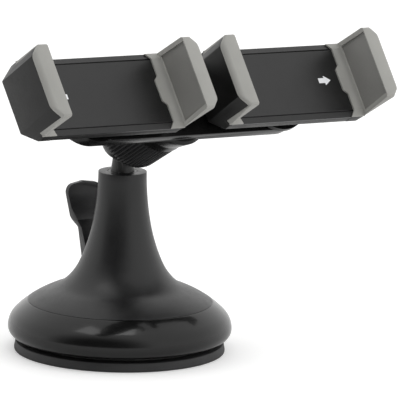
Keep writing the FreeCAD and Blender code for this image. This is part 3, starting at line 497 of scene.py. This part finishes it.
def new_piece(name: str, mesh: Mesh, place: Matrix | None = None, smooth: float = 35.0) -> Piece:
    """Turn a bmesh into an object whose place is in its mesh.

    Args:
        name: the piece's name.
        mesh: its faces; it is freed here.
        place: moves the mesh from its own frame into the model's.
        smooth: faces that meet at less than this many degrees shade as one.

    Returns:
        The object, at the origin.
    """
    data = bpy.data.meshes.new(name)
    mesh.to_mesh(data)
    mesh.free()
    if place is not None:
        data.transform(place)
    data.shade_smooth()
    data.set_sharp_from_angle(angle=math.radians(smooth))
    piece = bpy.data.objects.new(name, data)
    bpy.context.scene.collection.objects.link(piece)
    return piece


def baked(piece: Piece, name: str) -> Piece:
    """Replace a piece's modifiers by the mesh they make.

    Args:
        piece: the object with live modifiers.
        name: the name of the result.

    Returns:
        A plain mesh object.
    """
    bpy.context.view_layer.update()
    whole = piece.evaluated_get(bpy.context.evaluated_depsgraph_get())
    data = bpy.data.meshes.new_from_object(whole)
    piece.modifiers.clear()
    bpy.data.objects.remove(piece)
    data.name = name
    result = bpy.data.objects.new(name, data)
    bpy.context.scene.collection.objects.link(result)
    return result


def clean_copy(node: str) -> Mesh:
    """A CAD node's shape as whole flat faces with shared corners.

    Args:
        node: the CAD node to copy.

    Returns:
        The copy, in the model's frame.
    """
    mesh = bmesh.new()
    mesh.from_mesh(frame["nodes"][node].data)
    bmesh.ops.remove_doubles(mesh, verts=mesh.verts, dist=WELD)
    bmesh.ops.dissolve_limit(mesh, angle_limit=FLAT_WITHIN, verts=mesh.verts, edges=mesh.edges)
    return mesh


@dataclass(frozen=True)
class Edge:
    """An edge's two ends, in the frame in which edges are chosen."""

    first: Vector
    second: Vector

    @property
    def low(self) -> float:
        """The height of its lower end."""
        return min(self.first.z, self.second.z)

    @property
    def reach(self) -> float:
        """How far its nearer end is from the Z axis."""
        return min(self.first.xy.length, self.second.xy.length)

    def least(self, axis: int) -> float:
        """The smaller of its ends' distances from the middle along an axis."""
        return min(abs(self.first[axis]), abs(self.second[axis]))

    def most(self, axis: int) -> float:
        """The larger of its ends' distances from the middle along an axis."""
        return max(abs(self.first[axis]), abs(self.second[axis]))


EdgeTest = Callable[[Edge], bool]


def round_off(mesh: Mesh, local: Matrix, width: float, chosen: EdgeTest,
              segments: int = 3) -> None:
    """Round the chosen outer edges of a mesh.

    Args:
        mesh: the mesh, in the model's frame.
        local: the frame in which the edges are chosen.
        width: the rounding's reach from the edge, in metres.
        chosen: says whether an edge is rounded.
        segments: how many strips the rounding has.
    """
    back = local.inverted()
    picked = []
    for edge in mesh.edges:
        if len(edge.link_faces) != 2:
            continue
        turn = edge.calc_face_angle_signed(0.0)
        if turn < LEFT_SHARP or edge.calc_length() < width * SHORTEST:
            continue
        if chosen(Edge(*(back @ vert.co for vert in edge.verts))):
            picked.append(edge)
    bmesh.ops.bevel(mesh, geom=picked, offset=width, offset_type="OFFSET", segments=segments,
                    profile=0.5, affect="EDGES", clamp_overlap=True)


def turned(mesh: Mesh, profile: list[Pair], steps: int) -> list[Ring]:
    """Turn a profile round the Z axis into a mesh.

    Args:
        mesh: where the faces go.
        profile: its (radius, height) corners in metres.
        steps: how many faces go round.

    Returns:
        The ring of corners at each of the profile's corners.
    """
    angles = [2 * math.pi * k / steps for k in range(steps)]
    rings = [[mesh.verts.new((radius * math.cos(a), radius * math.sin(a), height)) for a in angles]
             for radius, height in profile]
    for low, high in zip(rings, rings[1:]):
        join_rings(mesh, low, high)
    return rings


def join_rings(mesh: Mesh, low: Ring, high: Ring) -> None:
    """Close the gap between two rings of as many corners with faces.

    Args:
        mesh: where the faces go.
        low: one ring's corners, in order.
        high: the other's.
    """
    for k in range(len(low)):
        n = (k + 1) % len(low)
        mesh.faces.new((low[k], low[n], high[n], high[k]))


# ---- repeats

class NodeTool:
    """A Geometry Nodes tree that is built here, run once and turned into a plain mesh."""

    def __init__(self, name: str) -> None:
        """Start a tree that takes a mesh and its named sizes.

        Args:
            name: the tree's name.
        """
        self.tree = bpy.data.node_groups.new(name, "GeometryNodeTree")
        self.sizes: list[tuple[str, object]] = []
        for end in ("INPUT", "OUTPUT"):
            self.tree.interface.new_socket("Geometry", in_out=end, socket_type="NodeSocketGeometry")
        self.start = self.tree.nodes.new("NodeGroupInput")
        self.end = self.tree.nodes.new("NodeGroupOutput")

    def size(self, name: str, value: object, kind: str = "NodeSocketFloat") -> Socket:
        """Add a named input and give its value.

        Args:
            name: the input's name.
            value: what the modifier sets it to.
            kind: the socket's type.

        Returns:
            The input's socket inside the tree.
        """
        socket = self.tree.interface.new_socket(name, in_out="INPUT", socket_type=kind)
        self.sizes.append((socket.identifier, value))
        return self.start.outputs[name]

    def add(self, kind: str, inputs: dict[str | int, object] | None = None,
            **values: object) -> bpy.types.Node:
        """Add a node, set its properties and feed its inputs.

        Args:
            kind: the node's full type name.
            inputs: a socket or a value for each input.
            values: plain properties of the node.

        Returns:
            The new node.
        """
        node = self.tree.nodes.new(kind)
        for name, value in values.items():
            setattr(node, name, value)
        for name, value in (inputs or {}).items():
            if isinstance(value, Socket):
                self.tree.links.new(value, node.inputs[name])
            else:
                node.inputs[name].default_value = value
        return node

    def maths(self, operation: str, first: object, second: object = 0.0) -> Socket:
        """One arithmetic step on two numbers or sockets."""
        return self.add("ShaderNodeMath", {0: first, 1: second}, operation=operation).outputs[0]

    def run(self, piece: Piece, result: Socket, finish: Finish, name: str) -> Piece:
        """Finish the tree, run it on a piece and bake it.

        Args:
            piece: the object the tree starts from.
            result: the geometry that leaves the tree.
            finish: the finish of every face.
            name: the baked piece's name.

        Returns:
            The baked piece.
        """
        real = self.add("GeometryNodeRealizeInstances", {"Geometry": result})
        paint = self.add("GeometryNodeSetMaterial",
                         {"Geometry": real.outputs[0], "Material": PAINT.get(finish)})
        self.tree.links.new(paint.outputs[0], self.end.inputs[0])
        modifier = piece.modifiers.new(self.tree.name, "NODES")
        modifier.node_group = self.tree
        for identifier, value in self.sizes:
            modifier[identifier] = value
        return baked(piece, name)


def coil_spring(name: str, place: Matrix, radius: float, wire: float, length: float,
                turns: float, finish: Finish) -> Piece:
    """A round-wire coil along its frame's Z axis.

    Args:
        name: the piece's name.
        place: the frame of its first turn's centre.
        radius: the coil's mean radius.
        wire: the wire's radius.
        length: from its first turn to its last.
        turns: how many turns it has.
        finish: its finish.

    Returns:
        The spring.
    """
    steps_round, steps_across = 20, 8
    tool = NodeTool(f"{name}_coil")
    tall = tool.size("Length", length)
    wide = tool.size("Coil radius", radius)
    thick = tool.size("Wire radius", wire)
    count = tool.size("Turns", turns)
    spiral = tool.add("GeometryNodeCurveSpiral", {
        "Resolution": steps_round, "Rotations": count, "Start Radius": wide, "End Radius": wide,
        "Height": tall})
    section = tool.add("GeometryNodeCurvePrimitiveCircle", {
        "Resolution": steps_across, "Radius": thick})
    tube = tool.add("GeometryNodeCurveToMesh", {
        "Curve": spiral.outputs[0], "Profile Curve": section.outputs[0], "Fill Caps": True})
    holder = new_piece(f"{name}_holder", bmesh.new())
    spring = tool.run(holder, tube.outputs[0], finish, name)
    spring.data.transform(place)
    spring.data.shade_smooth()
    return spring


def screw_head(radius: float, height: float, shank: float, length: float) -> Mesh:
    """A cross-head screw that points along +Z, with its head below z = 0.

    Args:
        radius: the head's radius.
        height: the head's height.
        shank: the shank's radius.
        length: the shank's length.

    Returns:
        The screw's mesh.
    """
    mesh = bmesh.new()
    arm, thin, deep = radius * 0.62, radius * 0.16, height * 0.6
    narrowing, steps = 0.7, 32
    cross = [(arm, -thin), (arm, thin), (thin, thin), (thin, arm), (-thin, arm), (-thin, thin),
             (-arm, thin), (-arm, -thin), (-thin, -thin), (-thin, -arm), (thin, -arm),
             (thin, -thin)]
    top = [mesh.verts.new((x, y, -height)) for x, y in cross]
    foot = [mesh.verts.new((x * narrowing, y * narrowing, deep - height)) for x, y in cross]
    join_rings(mesh, top, foot)
    mesh.faces.new(foot)
    rings = turned(mesh, [
        (radius * 0.86, -height), (radius * 0.96, -height * 0.88), (radius, -height * 0.6),
        (radius, 0.0), (shank, 0.0), (shank, length - shank * 0.5), (shank * 0.5, length)], steps)
    mesh.faces.new(rings[-1])
    loops = [mesh.edges.get((ring[k], ring[(k + 1) % len(ring)])) for ring in (top, rings[0])
             for k in range(len(ring))]
    bmesh.ops.bridge_loops(mesh, edges=loops)
    bmesh.ops.recalc_face_normals(mesh, faces=mesh.faces)
    return mesh


def screw_row(name: str, place: Matrix, screw: Mesh, spots: list[Vector], finish: Finish) -> Piece:
    """One screw repeated on given spots, each turned a little differently.

    Args:
        name: the piece's name.
        place: the frame of the spots.
        screw: the screw's mesh.
        spots: where each head's seat is.
        finish: the screws' finish.

    Returns:
        The row of screws as one piece.
    """
    pattern = new_piece(f"{name}_pattern", screw)
    seats = bmesh.new()
    for spot in spots:
        seats.verts.new(spot)
    holder = new_piece(f"{name}_seats", seats)
    tool = NodeTool(f"{name}_screws")
    sample = tool.size("Screw", pattern, "NodeSocketObject")
    seed = tool.size("Seed", 3, "NodeSocketInt")
    shape = tool.add("GeometryNodeObjectInfo", {"Object": sample})
    most_turned = 1.5  # radians
    turn = tool.add("FunctionNodeRandomValue", {
        0: (0.0, 0.0, 0.0), 1: (0.0, 0.0, most_turned), "Seed": seed}, data_type="FLOAT_VECTOR")
    copies = tool.add("GeometryNodeInstanceOnPoints", {
        "Points": tool.start.outputs[0], "Instance": shape.outputs["Geometry"],
        "Rotation": turn.outputs[0]})
    row = tool.run(holder, copies.outputs[0], finish, name)
    bpy.data.objects.remove(pattern)
    row.data.transform(place)
    return row


# ---- sub-assemblies

@dataclass
class CarriedNodes:
    """CAD nodes whose shape is right: they stay and get their real finish."""

    names: list[str]

    def build(self) -> None:
        """Give each node the finish of its slot."""
        for name in self.names:
            node = frame["nodes"][name]
            node.data.materials[0] = PAINT.for_slot(SLOT_OF[name])
            LOG.info("%s keeps its shape, in %s", name, SLOT_OF[name])


def put_moulded(node: str, mesh: Mesh) -> None:
    """Put a reworked copy of a CAD node in its place, in the finish of its slot.

    Args:
        node: the CAD node that it stands for.
        mesh: the copy, in the model's frame.
    """
    piece = new_piece(f"{node}_moulded", mesh, smooth=MOULDED_SMOOTH)
    piece.data.materials.append(PAINT.for_slot(SLOT_OF[node]))
    finish_piece(piece, BODY_OF[node], (node,))


@dataclass
class SoftEdged:
    """A CAD shape whose moulded edges are rounded."""

    node: str
    width: float
    chosen: EdgeTest
    local: Matrix = field(default_factory=Matrix)

    def build(self) -> None:
        """Copy the node, round its edges and put the copy in its place."""
        mesh = clean_copy(self.node)
        round_off(mesh, self.local, self.width, self.chosen)
        put_moulded(self.node, mesh)


@dataclass
class RibbedNut:
    """The lock nut: a turned body whose ribs swell and fade along its side."""

    lip_bottom: float = -0.5 * MM
    lip_inner: float = 7.403 * MM
    lip_outer: float = 8.3 * MM
    shoulder: float = 2.6 * MM
    root: float = 11.75 * MM
    flare: float = 0.4 * MM
    rib_height: float = 0.6 * MM
    rib_top: float = 16.3 * MM
    top: float = 16.8 * MM
    bore: float = 10.5 * MM
    ball_side: float = 7.42 * MM
    edge_round: float = 0.25 * MM
    ribs: int = 60
    steps_per_rib: int = 8
    rows: int = 10
    rib_flank: Pair = (0.15, 0.62)
    rib_start: Pair = (0.3 * MM, 0.8 * MM)
    rib_fade: float = 0.5 * MM
    skin: float = 0.2 * MM
    smooth: float = 50.0

    def profile(self) -> list[Pair]:
        """The outline of the body without its ribs, from the lip round to the bore.

        Returns:
            Its (radius, height) corners; it closes on the first.
        """
        slope = (self.root - self.lip_outer) / (self.shoulder - self.lip_bottom)
        edge = self.edge_round
        points = [(self.lip_inner, self.lip_bottom), (self.lip_outer - edge, self.lip_bottom),
                  (self.lip_outer + edge * 0.6, self.lip_bottom + edge * 0.7),
                  (self.root - edge * slope, self.shoulder - edge)]
        for k in range(self.rows + 1):
            part = k / self.rows
            height = self.shoulder + part * (self.rib_top - self.shoulder)
            points.append((self.root + self.flare * part, height))
        points += [(self.root + self.flare - edge, self.top), (self.bore + edge, self.top),
                   (self.bore, self.top - edge), (self.bore, self.bore - self.ball_side),
                   (self.ball_side, 0.0)]
        return points

    def build(self) -> None:
        """Turn the body, raise its ribs with Geometry Nodes and put it on the head."""
        mesh = bmesh.new()
        rings = turned(mesh, self.profile(), self.ribs * self.steps_per_rib)
        join_rings(mesh, rings[-1], rings[0])
        bmesh.ops.recalc_face_normals(mesh, faces=mesh.faces)
        holder = new_piece("nut_blank", mesh)
        tool = NodeTool("nut_ribs")
        count = tool.size("Ribs", float(self.ribs))
        height = tool.size("Rib height", self.rib_height)
        foot = tool.size("Foot", self.shoulder)
        top = tool.size("Top", self.rib_top)
        floor = tool.size("Inside", self.root - self.skin)
        spot = tool.add("GeometryNodeInputPosition").outputs[0]
        parts = tool.add("ShaderNodeSeparateXYZ", {0: spot})
        angle = tool.maths("ARCTAN2", parts.outputs[1], parts.outputs[0])
        phase = tool.maths("FRACT", tool.maths("MULTIPLY", angle, tool.maths(
            "DIVIDE", count, 2 * math.pi)))
        ridge = tool.maths("SUBTRACT", 1.0, tool.maths("MULTIPLY", 2.0, tool.maths(
            "ABSOLUTE", tool.maths("SUBTRACT", phase, 0.5))))
        crest = tool.add("ShaderNodeMapRange", {
            "Value": ridge, "From Min": self.rib_flank[0], "From Max": self.rib_flank[1]},
            interpolation_type="SMOOTHSTEP")
        radius = tool.add("ShaderNodeVectorMath", {0: spot, 1: (1, 1, 0)}, operation="MULTIPLY")
        reach = tool.add("ShaderNodeVectorMath", {0: radius.outputs[0]}, operation="LENGTH")
        outside = tool.maths("GREATER_THAN", reach.outputs["Value"], floor)
        above = tool.add("ShaderNodeMapRange", {
            "Value": parts.outputs[2],
            "From Min": tool.maths("SUBTRACT", foot, self.rib_start[0]),
            "From Max": tool.maths("ADD", foot, self.rib_start[1])})
        below = tool.add("ShaderNodeMapRange", {
            "Value": parts.outputs[2], "From Min": top,
            "From Max": tool.maths("ADD", top, self.rib_fade), "To Min": 1.0, "To Max": 0.0})
        lift = height
        for factor in (crest.outputs[0], outside, above.outputs[0], below.outputs[0]):
            lift = tool.maths("MULTIPLY", lift, factor)
        way = tool.add("ShaderNodeVectorMath", {0: radius.outputs[0]}, operation="NORMALIZE")
        push = tool.add("ShaderNodeVectorMath", {0: way.outputs[0], "Scale": lift},
                        operation="SCALE")
        moved = tool.add("GeometryNodeSetPosition", {
            "Geometry": tool.start.outputs[0], "Offset": push.outputs[0]})
        nut = tool.run(holder, moved.outputs[0], Finish.NUT_BLACK, "lock_nut_ribbed")
        nut.data.transform(HEAD_FRAME)
        nut.data.shade_smooth()
        nut.data.set_sharp_from_angle(angle=math.radians(self.smooth))
        finish_piece(nut, "nut", ("lock_nut",))


@dataclass
class Base:
    """Suction disc, skirt ring, trumpet housing, lever and what they hide."""

    spring_bottom: float = 4.55 * MM
    spring_top: float = 10.95 * MM
    spring_radius: float = 5.3 * MM
    spring_wire: float = 0.45 * MM
    spring_turns: float = 3.5
    disc_round: float = 0.3 * MM
    seam_round: float = 0.25 * MM
    lever_round: float = 0.4 * MM
    lever_exit: Pair = (15.6 * MM, 30.0 * MM)
    lever_whole: float = 3 * MM
    lever_lean: float = 0.268
    lever_bend: Pair = (39.8 * MM, 43.4 * MM)
    lever_step: float = 2.5 * MM
    lever_pared: float = 1.5 * MM
    tab_sides: Pair = (40.8 * MM, 49.4 * MM)
    stem_half: float = 4.9 * MM
    waist: float = 0.14

    @staticmethod
    def turned_edge(edge: Edge) -> bool:
        """Whether an edge runs round the base's upright axis."""
        level = abs(edge.first.z - edge.second.z) < HAIR
        return level and abs(edge.first.xy.length - edge.second.xy.length) < HAIR

    @staticmethod
    def share(value: float, start: float, end: float) -> float:
        """How far a value is from start to end, from 0 to 1."""
        return min(max((value - start) / (end - start), 0), 1)

    def pare(self, mesh: Mesh, local: Matrix) -> None:
        """Thin the lever's tab from its front and narrow it towards the stem.

        Args:
            mesh: the lever's mesh, in the model's frame.
            local: the lever's frame, Y backwards.
        """
        back = local.inverted()
        low, high = self.tab_sides
        out, up = self.lever_exit
        for vert in mesh.verts:
            spot = back @ vert.co
            if spot.z < up + self.lever_whole:
                continue
            middle = (out + self.lever_lean * (spot.z - up)
                      + self.lever_step * self.share(spot.z, *self.lever_bend))
            if spot.y < middle:
                spot.y += self.lever_pared
            if abs(spot.x) > self.stem_half:
                spot.x *= 1 - self.waist * self.share(spot.z, high, low)
            vert.co = local @ spot

    def build_lever(self) -> None:
        """The lever: a thin blade on a stem, with its moulded edges rounded."""
        local = local_frame(Vector(), -joint_fact("lever_lock", "axis"), Vector((0, 0, 1)))
        mesh = clean_copy("lock_lever")
        self.pare(mesh, local)
        round_off(mesh, local, self.lever_round, lambda edge: True)
        put_moulded("lock_lever", mesh)

    def build_spring(self) -> None:
        """The spring that pushes the disc's plate down, held by the base's plate above it."""
        bottom = self.spring_bottom + self.spring_wire
        length = self.spring_top - self.spring_wire - bottom
        spring = coil_spring("return_spring_wire", Matrix.Translation((0, 0, bottom)),
                             self.spring_radius, self.spring_wire, length, self.spring_turns,
                             Finish.SPRING_STEEL)
        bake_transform(spring)
        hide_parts("return_spring")
        LOG.info("%s stretches between base and disc", spring.name)

    def build(self) -> None:
        """Build every piece of the base."""
        CarriedNodes([
            "backing_plate", "pull_stud", "stud_yoke", "stud_nut", "base_plate", "base_screws",
            "lever_pin", "stem_screw",
        ]).build()
        SoftEdged("suction_disc", self.disc_round, self.turned_edge).build()
        for node in ("base_ring", "cone_housing", "ball_stem"):
            SoftEdged(node, self.seam_round, self.turned_edge).build()
        self.build_lever()
        self.build_spring()


@dataclass
class Head:
    """Ball liners, socket, ribbed nut and the bar that carries both clamps."""

    bar_round: float = 0.5 * MM
    bar_back: float = 25.9 * MM
    hub_reach: float = 12.0 * MM
    pivot_at: float = 42.2 * MM
    pivot_reach: float = 5 * MM

    def on_rim(self, edge: Edge) -> bool:
        """Whether an edge is on the bar's outer rim, clear of its hub and its pivot holes."""
        spot = Vector((abs(edge.first.x), edge.first.y)) - Vector((self.pivot_at, 0))
        clear = edge.reach > self.hub_reach and spot.length >= self.pivot_reach
        return clear and edge.low > self.bar_back

    def build(self) -> None:
        """Build every piece of the head."""
        CarriedNodes(["ball_pad", "ball_seat", "socket_cup", "hub_screw"]).build()
        RibbedNut().build()
        SoftEdged("head_bar", self.bar_round, self.on_rim, HEAD_FRAME).build()


@dataclass
class Clamp:
    """One phone clamp: tray, front plate, fixed and sliding jaw, pads, springs and print."""

    side: str
    lip_round: float = 1.0 * MM
    grip_round: float = 0.35 * MM
    shell_round: float = 0.3 * MM
    inner_line: float = 31.6 * MM
    lip_edge: Pair = (19.1 * MM, 20.6 * MM)
    grip_sides: Pair = (12.0 * MM, 7.0 * MM)
    grip_tip: float = 20.5 * MM
    panel: Pair = (7.4 * MM, 20.5 * MM)
    panel_foot: Pair = (31.2 * MM, 7.2 * MM)
    panel_slope: float = 13.55
    panel_sunk: float = 0.3 * MM
    facing: float = 0.9
    shell_inside: Pair = (10.6 * MM, 0.5 * MM)
    back_half: Pair = (29.5 * MM, 9.0 * MM)
    hook: float = -28.2 * MM
    rail_end: float = -6.0 * MM
    rail_gap: float = 0.4 * MM
    coil_radius: float = 1.45 * MM
    coil_wire: float = 0.3 * MM
    coil_margin: float = 2.1 * MM
    coil_line: float = 7.4 * MM
    coil_height: float = 3.35 * MM
    coil_turns: float = 16.0
    screw_spots: Pair = (-22.5 * MM, 17.5 * MM)
    screw_seat: float = 1.0 * MM
    screw_sizes: tuple[float, float, float, float] = (2.0 * MM, 1.0 * MM, 0.95 * MM, 4.7 * MM)
    arrow_at: Pair = (18.8 * MM, 0.2 * MM)
    left_arrow_shift: float = 0.8 * MM
    arrow_length: float = 5.7 * MM
    arrow_width: float = 3.5 * MM
    arrow_stem: Pair = (0.48, 0.52)
    ink_sunk: float = 0.02 * MM
    ink_proud: float = 0.03 * MM
    face: float = 6.6 * MM

    def __post_init__(self) -> None:
        """Find the clamp's own frame."""
        self.local = clamp_frame(self.side)

    def on_lip(self, edge: Edge) -> bool:
        """Whether a pad's edge is on the lip's outer rim or is one of its upright corners."""
        low, high = self.lip_edge
        raised = edge.low > low and max(edge.first.z, edge.second.z) > high
        return raised and edge.most(0) >= self.inner_line

    def on_grip(self, edge: Edge) -> bool:
        """Whether a pad's edge bounds its inner face, at the tip or down its sides."""
        out, foot = self.grip_sides
        side = edge.least(1) > out and edge.low > foot
        return edge.most(0) < self.inner_line and (edge.low > self.grip_tip or side)

    def on_outside(self, edge: Edge) -> bool:
        """Whether a shell's edge is neither inside it nor in the middle of its back.

        Args:
            edge: the edge, in the clamp's frame.

        Returns:
            True on the shell's outside.
        """
        half_length, half_width = self.back_half
        wall, floor = self.shell_inside
        short, across = edge.least(0) < half_length, edge.most(1)
        inside = across < wall and edge.low > floor
        return not (short and (inside or across < half_width))

    def in_panel(self, spot: Vector, normal: Vector) -> bool:
        """Whether a pad's face is the floor of its sunk panel.

        Args:
            spot: the face's centre, in the clamp's frame.
            normal: the way it faces.

        Returns:
            True on the panel's floor.
        """
        reach, height = self.panel_foot
        inward = normal.x * math.copysign(1, spot.x) < -self.facing
        grip = reach - (spot.z - height) / self.panel_slope
        low, high = self.panel
        return inward and abs(spot.x) > grip + self.panel_sunk and low < spot.z < high

    def build_pad(self, node: str) -> None:
        """A rubber pad: soft round tip, crisp foot, and a darker sunk panel.

        Args:
            node: the pad's CAD node.
        """
        mesh = clean_copy(node)
        round_off(mesh, self.local, self.lip_round, self.on_lip, 4)
        round_off(mesh, self.local, self.grip_round, self.on_grip)
        piece = new_piece(f"{node}_soft", mesh, smooth=MOULDED_SMOOTH)
        piece.data.materials.append(PAINT.get(Finish.PAD_GREY))
        piece.data.materials.append(PAINT.get(Finish.PAD_PANEL))
        back = self.local.inverted()
        for face in piece.data.polygons:
            if self.in_panel(back @ face.center, back.to_3x3() @ face.normal):
                face.material_index = 1
        finish_piece(piece, BODY_OF[node], (node,))

    def build_arrow(self) -> None:
        """The printed arrow that points the way the sliding jaw opens."""
        x, y = self.arrow_at
        if self.side == "left":
            x -= self.left_arrow_shift
        half = self.arrow_width / 2
        neck = self.arrow_length * self.arrow_stem[0]
        stem = half * self.arrow_stem[1]
        tail = -self.arrow_length / 2
        outline = [(tail, -stem), (tail + neck, -stem), (tail + neck, -half),
                   (-tail, 0.0), (tail + neck, half), (tail + neck, stem), (tail, stem)]
        mesh = bmesh.new()
        low, high = ([mesh.verts.new((x + a, y + b, level)) for a, b in outline]
                     for level in (self.face - self.ink_sunk, self.face + self.ink_proud))
        mesh.faces.new(low)
        mesh.faces.new(high)
        join_rings(mesh, low, high)
        bmesh.ops.recalc_face_normals(mesh, faces=mesh.faces)
        arrow = new_piece(f"{self.side}_arrow_print", mesh, self.local)
        arrow.data.materials.append(PAINT.get(Finish.PRINT))
        finish_piece(arrow, f"{self.side}_clamp")

    def build_springs(self) -> None:
        """The two springs that pull the sliding jaw shut, stretched between clamp and jaw."""
        start = self.hook + self.coil_margin
        length = self.rail_end - self.rail_gap - start
        along = Matrix.Rotation(math.radians(90), 4, "Y")
        node = f"{self.side}_jaw_springs"
        for number, line in enumerate((-self.coil_line, self.coil_line), start=1):
            place = self.local @ Matrix.Translation((start, line, self.coil_height)) @ along
            spring = coil_spring(f"{self.side}_pull_spring_{number}", place, self.coil_radius,
                                 self.coil_wire, length, self.coil_turns, Finish.SPRING_STEEL)
            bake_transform(spring)
        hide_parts(node)
        LOG.info("%s: two springs stretch with the jaw", node)

    def build_screws(self) -> None:
        """The two screws in the clamp's back, as one repeated screw."""
        node = f"{self.side}_clamp_screws"
        spots = [Vector((x, 0, self.screw_seat)) for x in self.screw_spots]
        row = screw_row(f"{node}_cross", self.local, screw_head(*self.screw_sizes), spots,
                        Finish.STEEL)
        finish_piece(row, f"{self.side}_clamp", (node,))

    def build(self) -> None:
        """Build every piece of the clamp."""
        CarriedNodes([f"{self.side}_{part}" for part in (
            "swivel_disc", "swivel_washer", "swivel_screw", "clamp_plate")]).build()
        for part in ("clamp_shell", "jaw_shell"):
            SoftEdged(f"{self.side}_{part}", self.shell_round, self.on_outside,
                      self.local).build()
        self.build_pad(f"{self.side}_fixed_pad")
        self.build_pad(f"{self.side}_jaw_pad")
        self.build_screws()
        self.build_springs()
        self.build_arrow()


# ---- studio

@dataclass(frozen=True)
class Studio:
    """A pale floor, white surroundings with one darker side, three soft lights and the camera."""

    azimuth: float = -46.435
    elevation: float = 12.911
    roll: float = 1.187
    distance: float = 2.3112
    image_scale: float = 2982.5
    image_side: int = 400
    sensor: float = 36.0
    aim: Triple = (0.02617, -0.01117, 0.04913)
    clip: Pair = (0.05, 20.0)
    floor_half: float = 3.0
    floor_drop: float = 0.1 * MM
    floor_cloud: float = 0.2
    floor_roughness: float = 0.8
    floor_glow: float = 0.30
    dark_side: Triple = (-0.93, -0.36, 0.06)
    dark_from: Pair = (0.45, 0.92)
    dark_level: float = 0.06
    white: Triple = (1.0, 1.0, 0.995)
    key_at: Triple = (0.5, -0.9, 0.9)
    key_size: Pair = (0.7, 0.7)
    key_glow: float = 1.3
    top_distance: float = 1.6
    top_size: Pair = (0.5, 0.42)
    tops: tuple[tuple[str, float, float, float], ...] = (
        ("front_top", -131.0, 77.0, 2.3), ("left_top", 162.0, 68.0, 1.6))

    def camera(self) -> None:
        """Make the long-lens camera and set it as the scene's."""
        a, e = math.radians(self.azimuth), math.radians(self.elevation)
        to_camera = Vector((math.sin(a) * math.cos(e), -math.cos(a) * math.cos(e), math.sin(e)))
        data = bpy.data.cameras.new("camera")
        data.sensor_width = self.sensor
        data.lens = self.image_scale * self.distance / self.image_side * self.sensor
        data.clip_start, data.clip_end = self.clip
        camera = bpy.data.objects.new("camera", data)
        bpy.context.scene.collection.objects.link(camera)
        stand = to_camera * self.distance
        turn = (stand - Vector(self.aim)).to_track_quat("Z", "Y").to_matrix().to_4x4()
        roll = Matrix.Rotation(math.radians(self.roll), 4, "Z")
        camera.matrix_world = Matrix.Translation(stand) @ turn @ roll
        bpy.context.scene.camera = camera

    def floor(self) -> None:
        """A pale floor that keeps the object's shadow and reads white to the camera."""
        mesh = bmesh.new()
        bmesh.ops.create_grid(mesh, x_segments=8, y_segments=8, size=self.floor_half)
        floor = new_piece("studio_floor", mesh, Matrix.Translation((0, 0, -self.floor_drop)))
        graph = Graph("studio_floor")
        shader = graph.shader.inputs
        graph.feed(shader["Base Color"], graph.blend(
            graph.spread(graph.noise(self.floor_cloud), 0.0, 1.0), grey(0.86), grey(0.88)))
        shader["Roughness"].default_value = self.floor_roughness
        shader["Specular IOR Level"].default_value = 0.0
        shader["Emission Color"].default_value = (1, 1, 1, 1)
        graph.feed(shader["Emission Strength"], graph.sums(
            graph.add("LightPath").outputs["Is Camera Ray"], self.floor_glow, "MULTIPLY"))
        floor.data.materials.append(graph.material)

    def surroundings(self) -> None:
        """White all round for the camera; for the object, white with a dark side at -X."""
        world = bpy.data.worlds.new("studio")
        bpy.context.scene.world = world
        world.use_nodes = True
        graph = Nodes(world.node_tree)
        aimed = graph.add("VectorMath", operation="DOT_PRODUCT")
        graph.feed(aimed.inputs[0], graph.add("TexCoord").outputs["Generated"])
        graph.feed(aimed.inputs[1], Vector(self.dark_side).normalized())
        shade = graph.spread(aimed.outputs["Value"], 1.0, self.dark_level, *self.dark_from,
                             easing="SMOOTHSTEP")
        seen = graph.sums(graph.add("LightPath").outputs["Is Camera Ray"], shade, "MAXIMUM")
        glow = graph.add("Background")
        graph.feed(glow.inputs["Color"], (*self.white, 1.0))
        graph.feed(glow.inputs["Strength"], seen)
        graph.feed(graph.add("OutputWorld").inputs["Surface"], glow.outputs[0])

    def softbox(self, name: str, place: Triple, size: Pair, glow: float,
                mirrored: bool = True) -> None:
        """A soft rectangular light aimed at the mount.

        Args:
            name: the light's name.
            place: where it stands.
            size: its width and height, in metres.
            glow: how many times as bright as the surroundings its face is.
            mirrored: whether glossy surfaces show it.
        """
        data = bpy.data.lights.new(name, "AREA")
        data.shape = "RECTANGLE"
        data.size, data.size_y = size
        data.energy = glow * math.pi * size[0] * size[1]
        light = bpy.data.objects.new(name, data)
        light.visible_glossy = mirrored
        light.location = place
        aim = Vector(self.aim) - Vector(place)
        light.rotation_euler = aim.to_track_quat("-Z", "Y").to_euler()
        bpy.context.scene.collection.objects.link(light)

    def build(self) -> None:
        """Build the whole studio."""
        scene = bpy.context.scene
        scene.view_settings.view_transform = "Standard"
        self.camera()
        self.floor()
        self.surroundings()
        self.softbox("key", self.key_at, self.key_size, self.key_glow, mirrored=False)
        for name, around, above, glow in self.tops:
            way, rise = math.radians(around), math.radians(above)
            flat = self.top_distance * math.cos(rise)
            place = (flat * math.cos(way), flat * math.sin(way), self.top_distance * math.sin(rise))
            self.softbox(name, place, self.top_size, glow)


# ---- making


def main() -> None:
    """Build the mount and its studio, in order."""
    logging.basicConfig(level=logging.INFO, format="%(name)s: %(message)s", force=True)
    Studio().build()
    Base().build()
    Head().build()
    for side in ("right", "left"):
        Clamp(side).build()


if __name__ == "__main__":
    main()
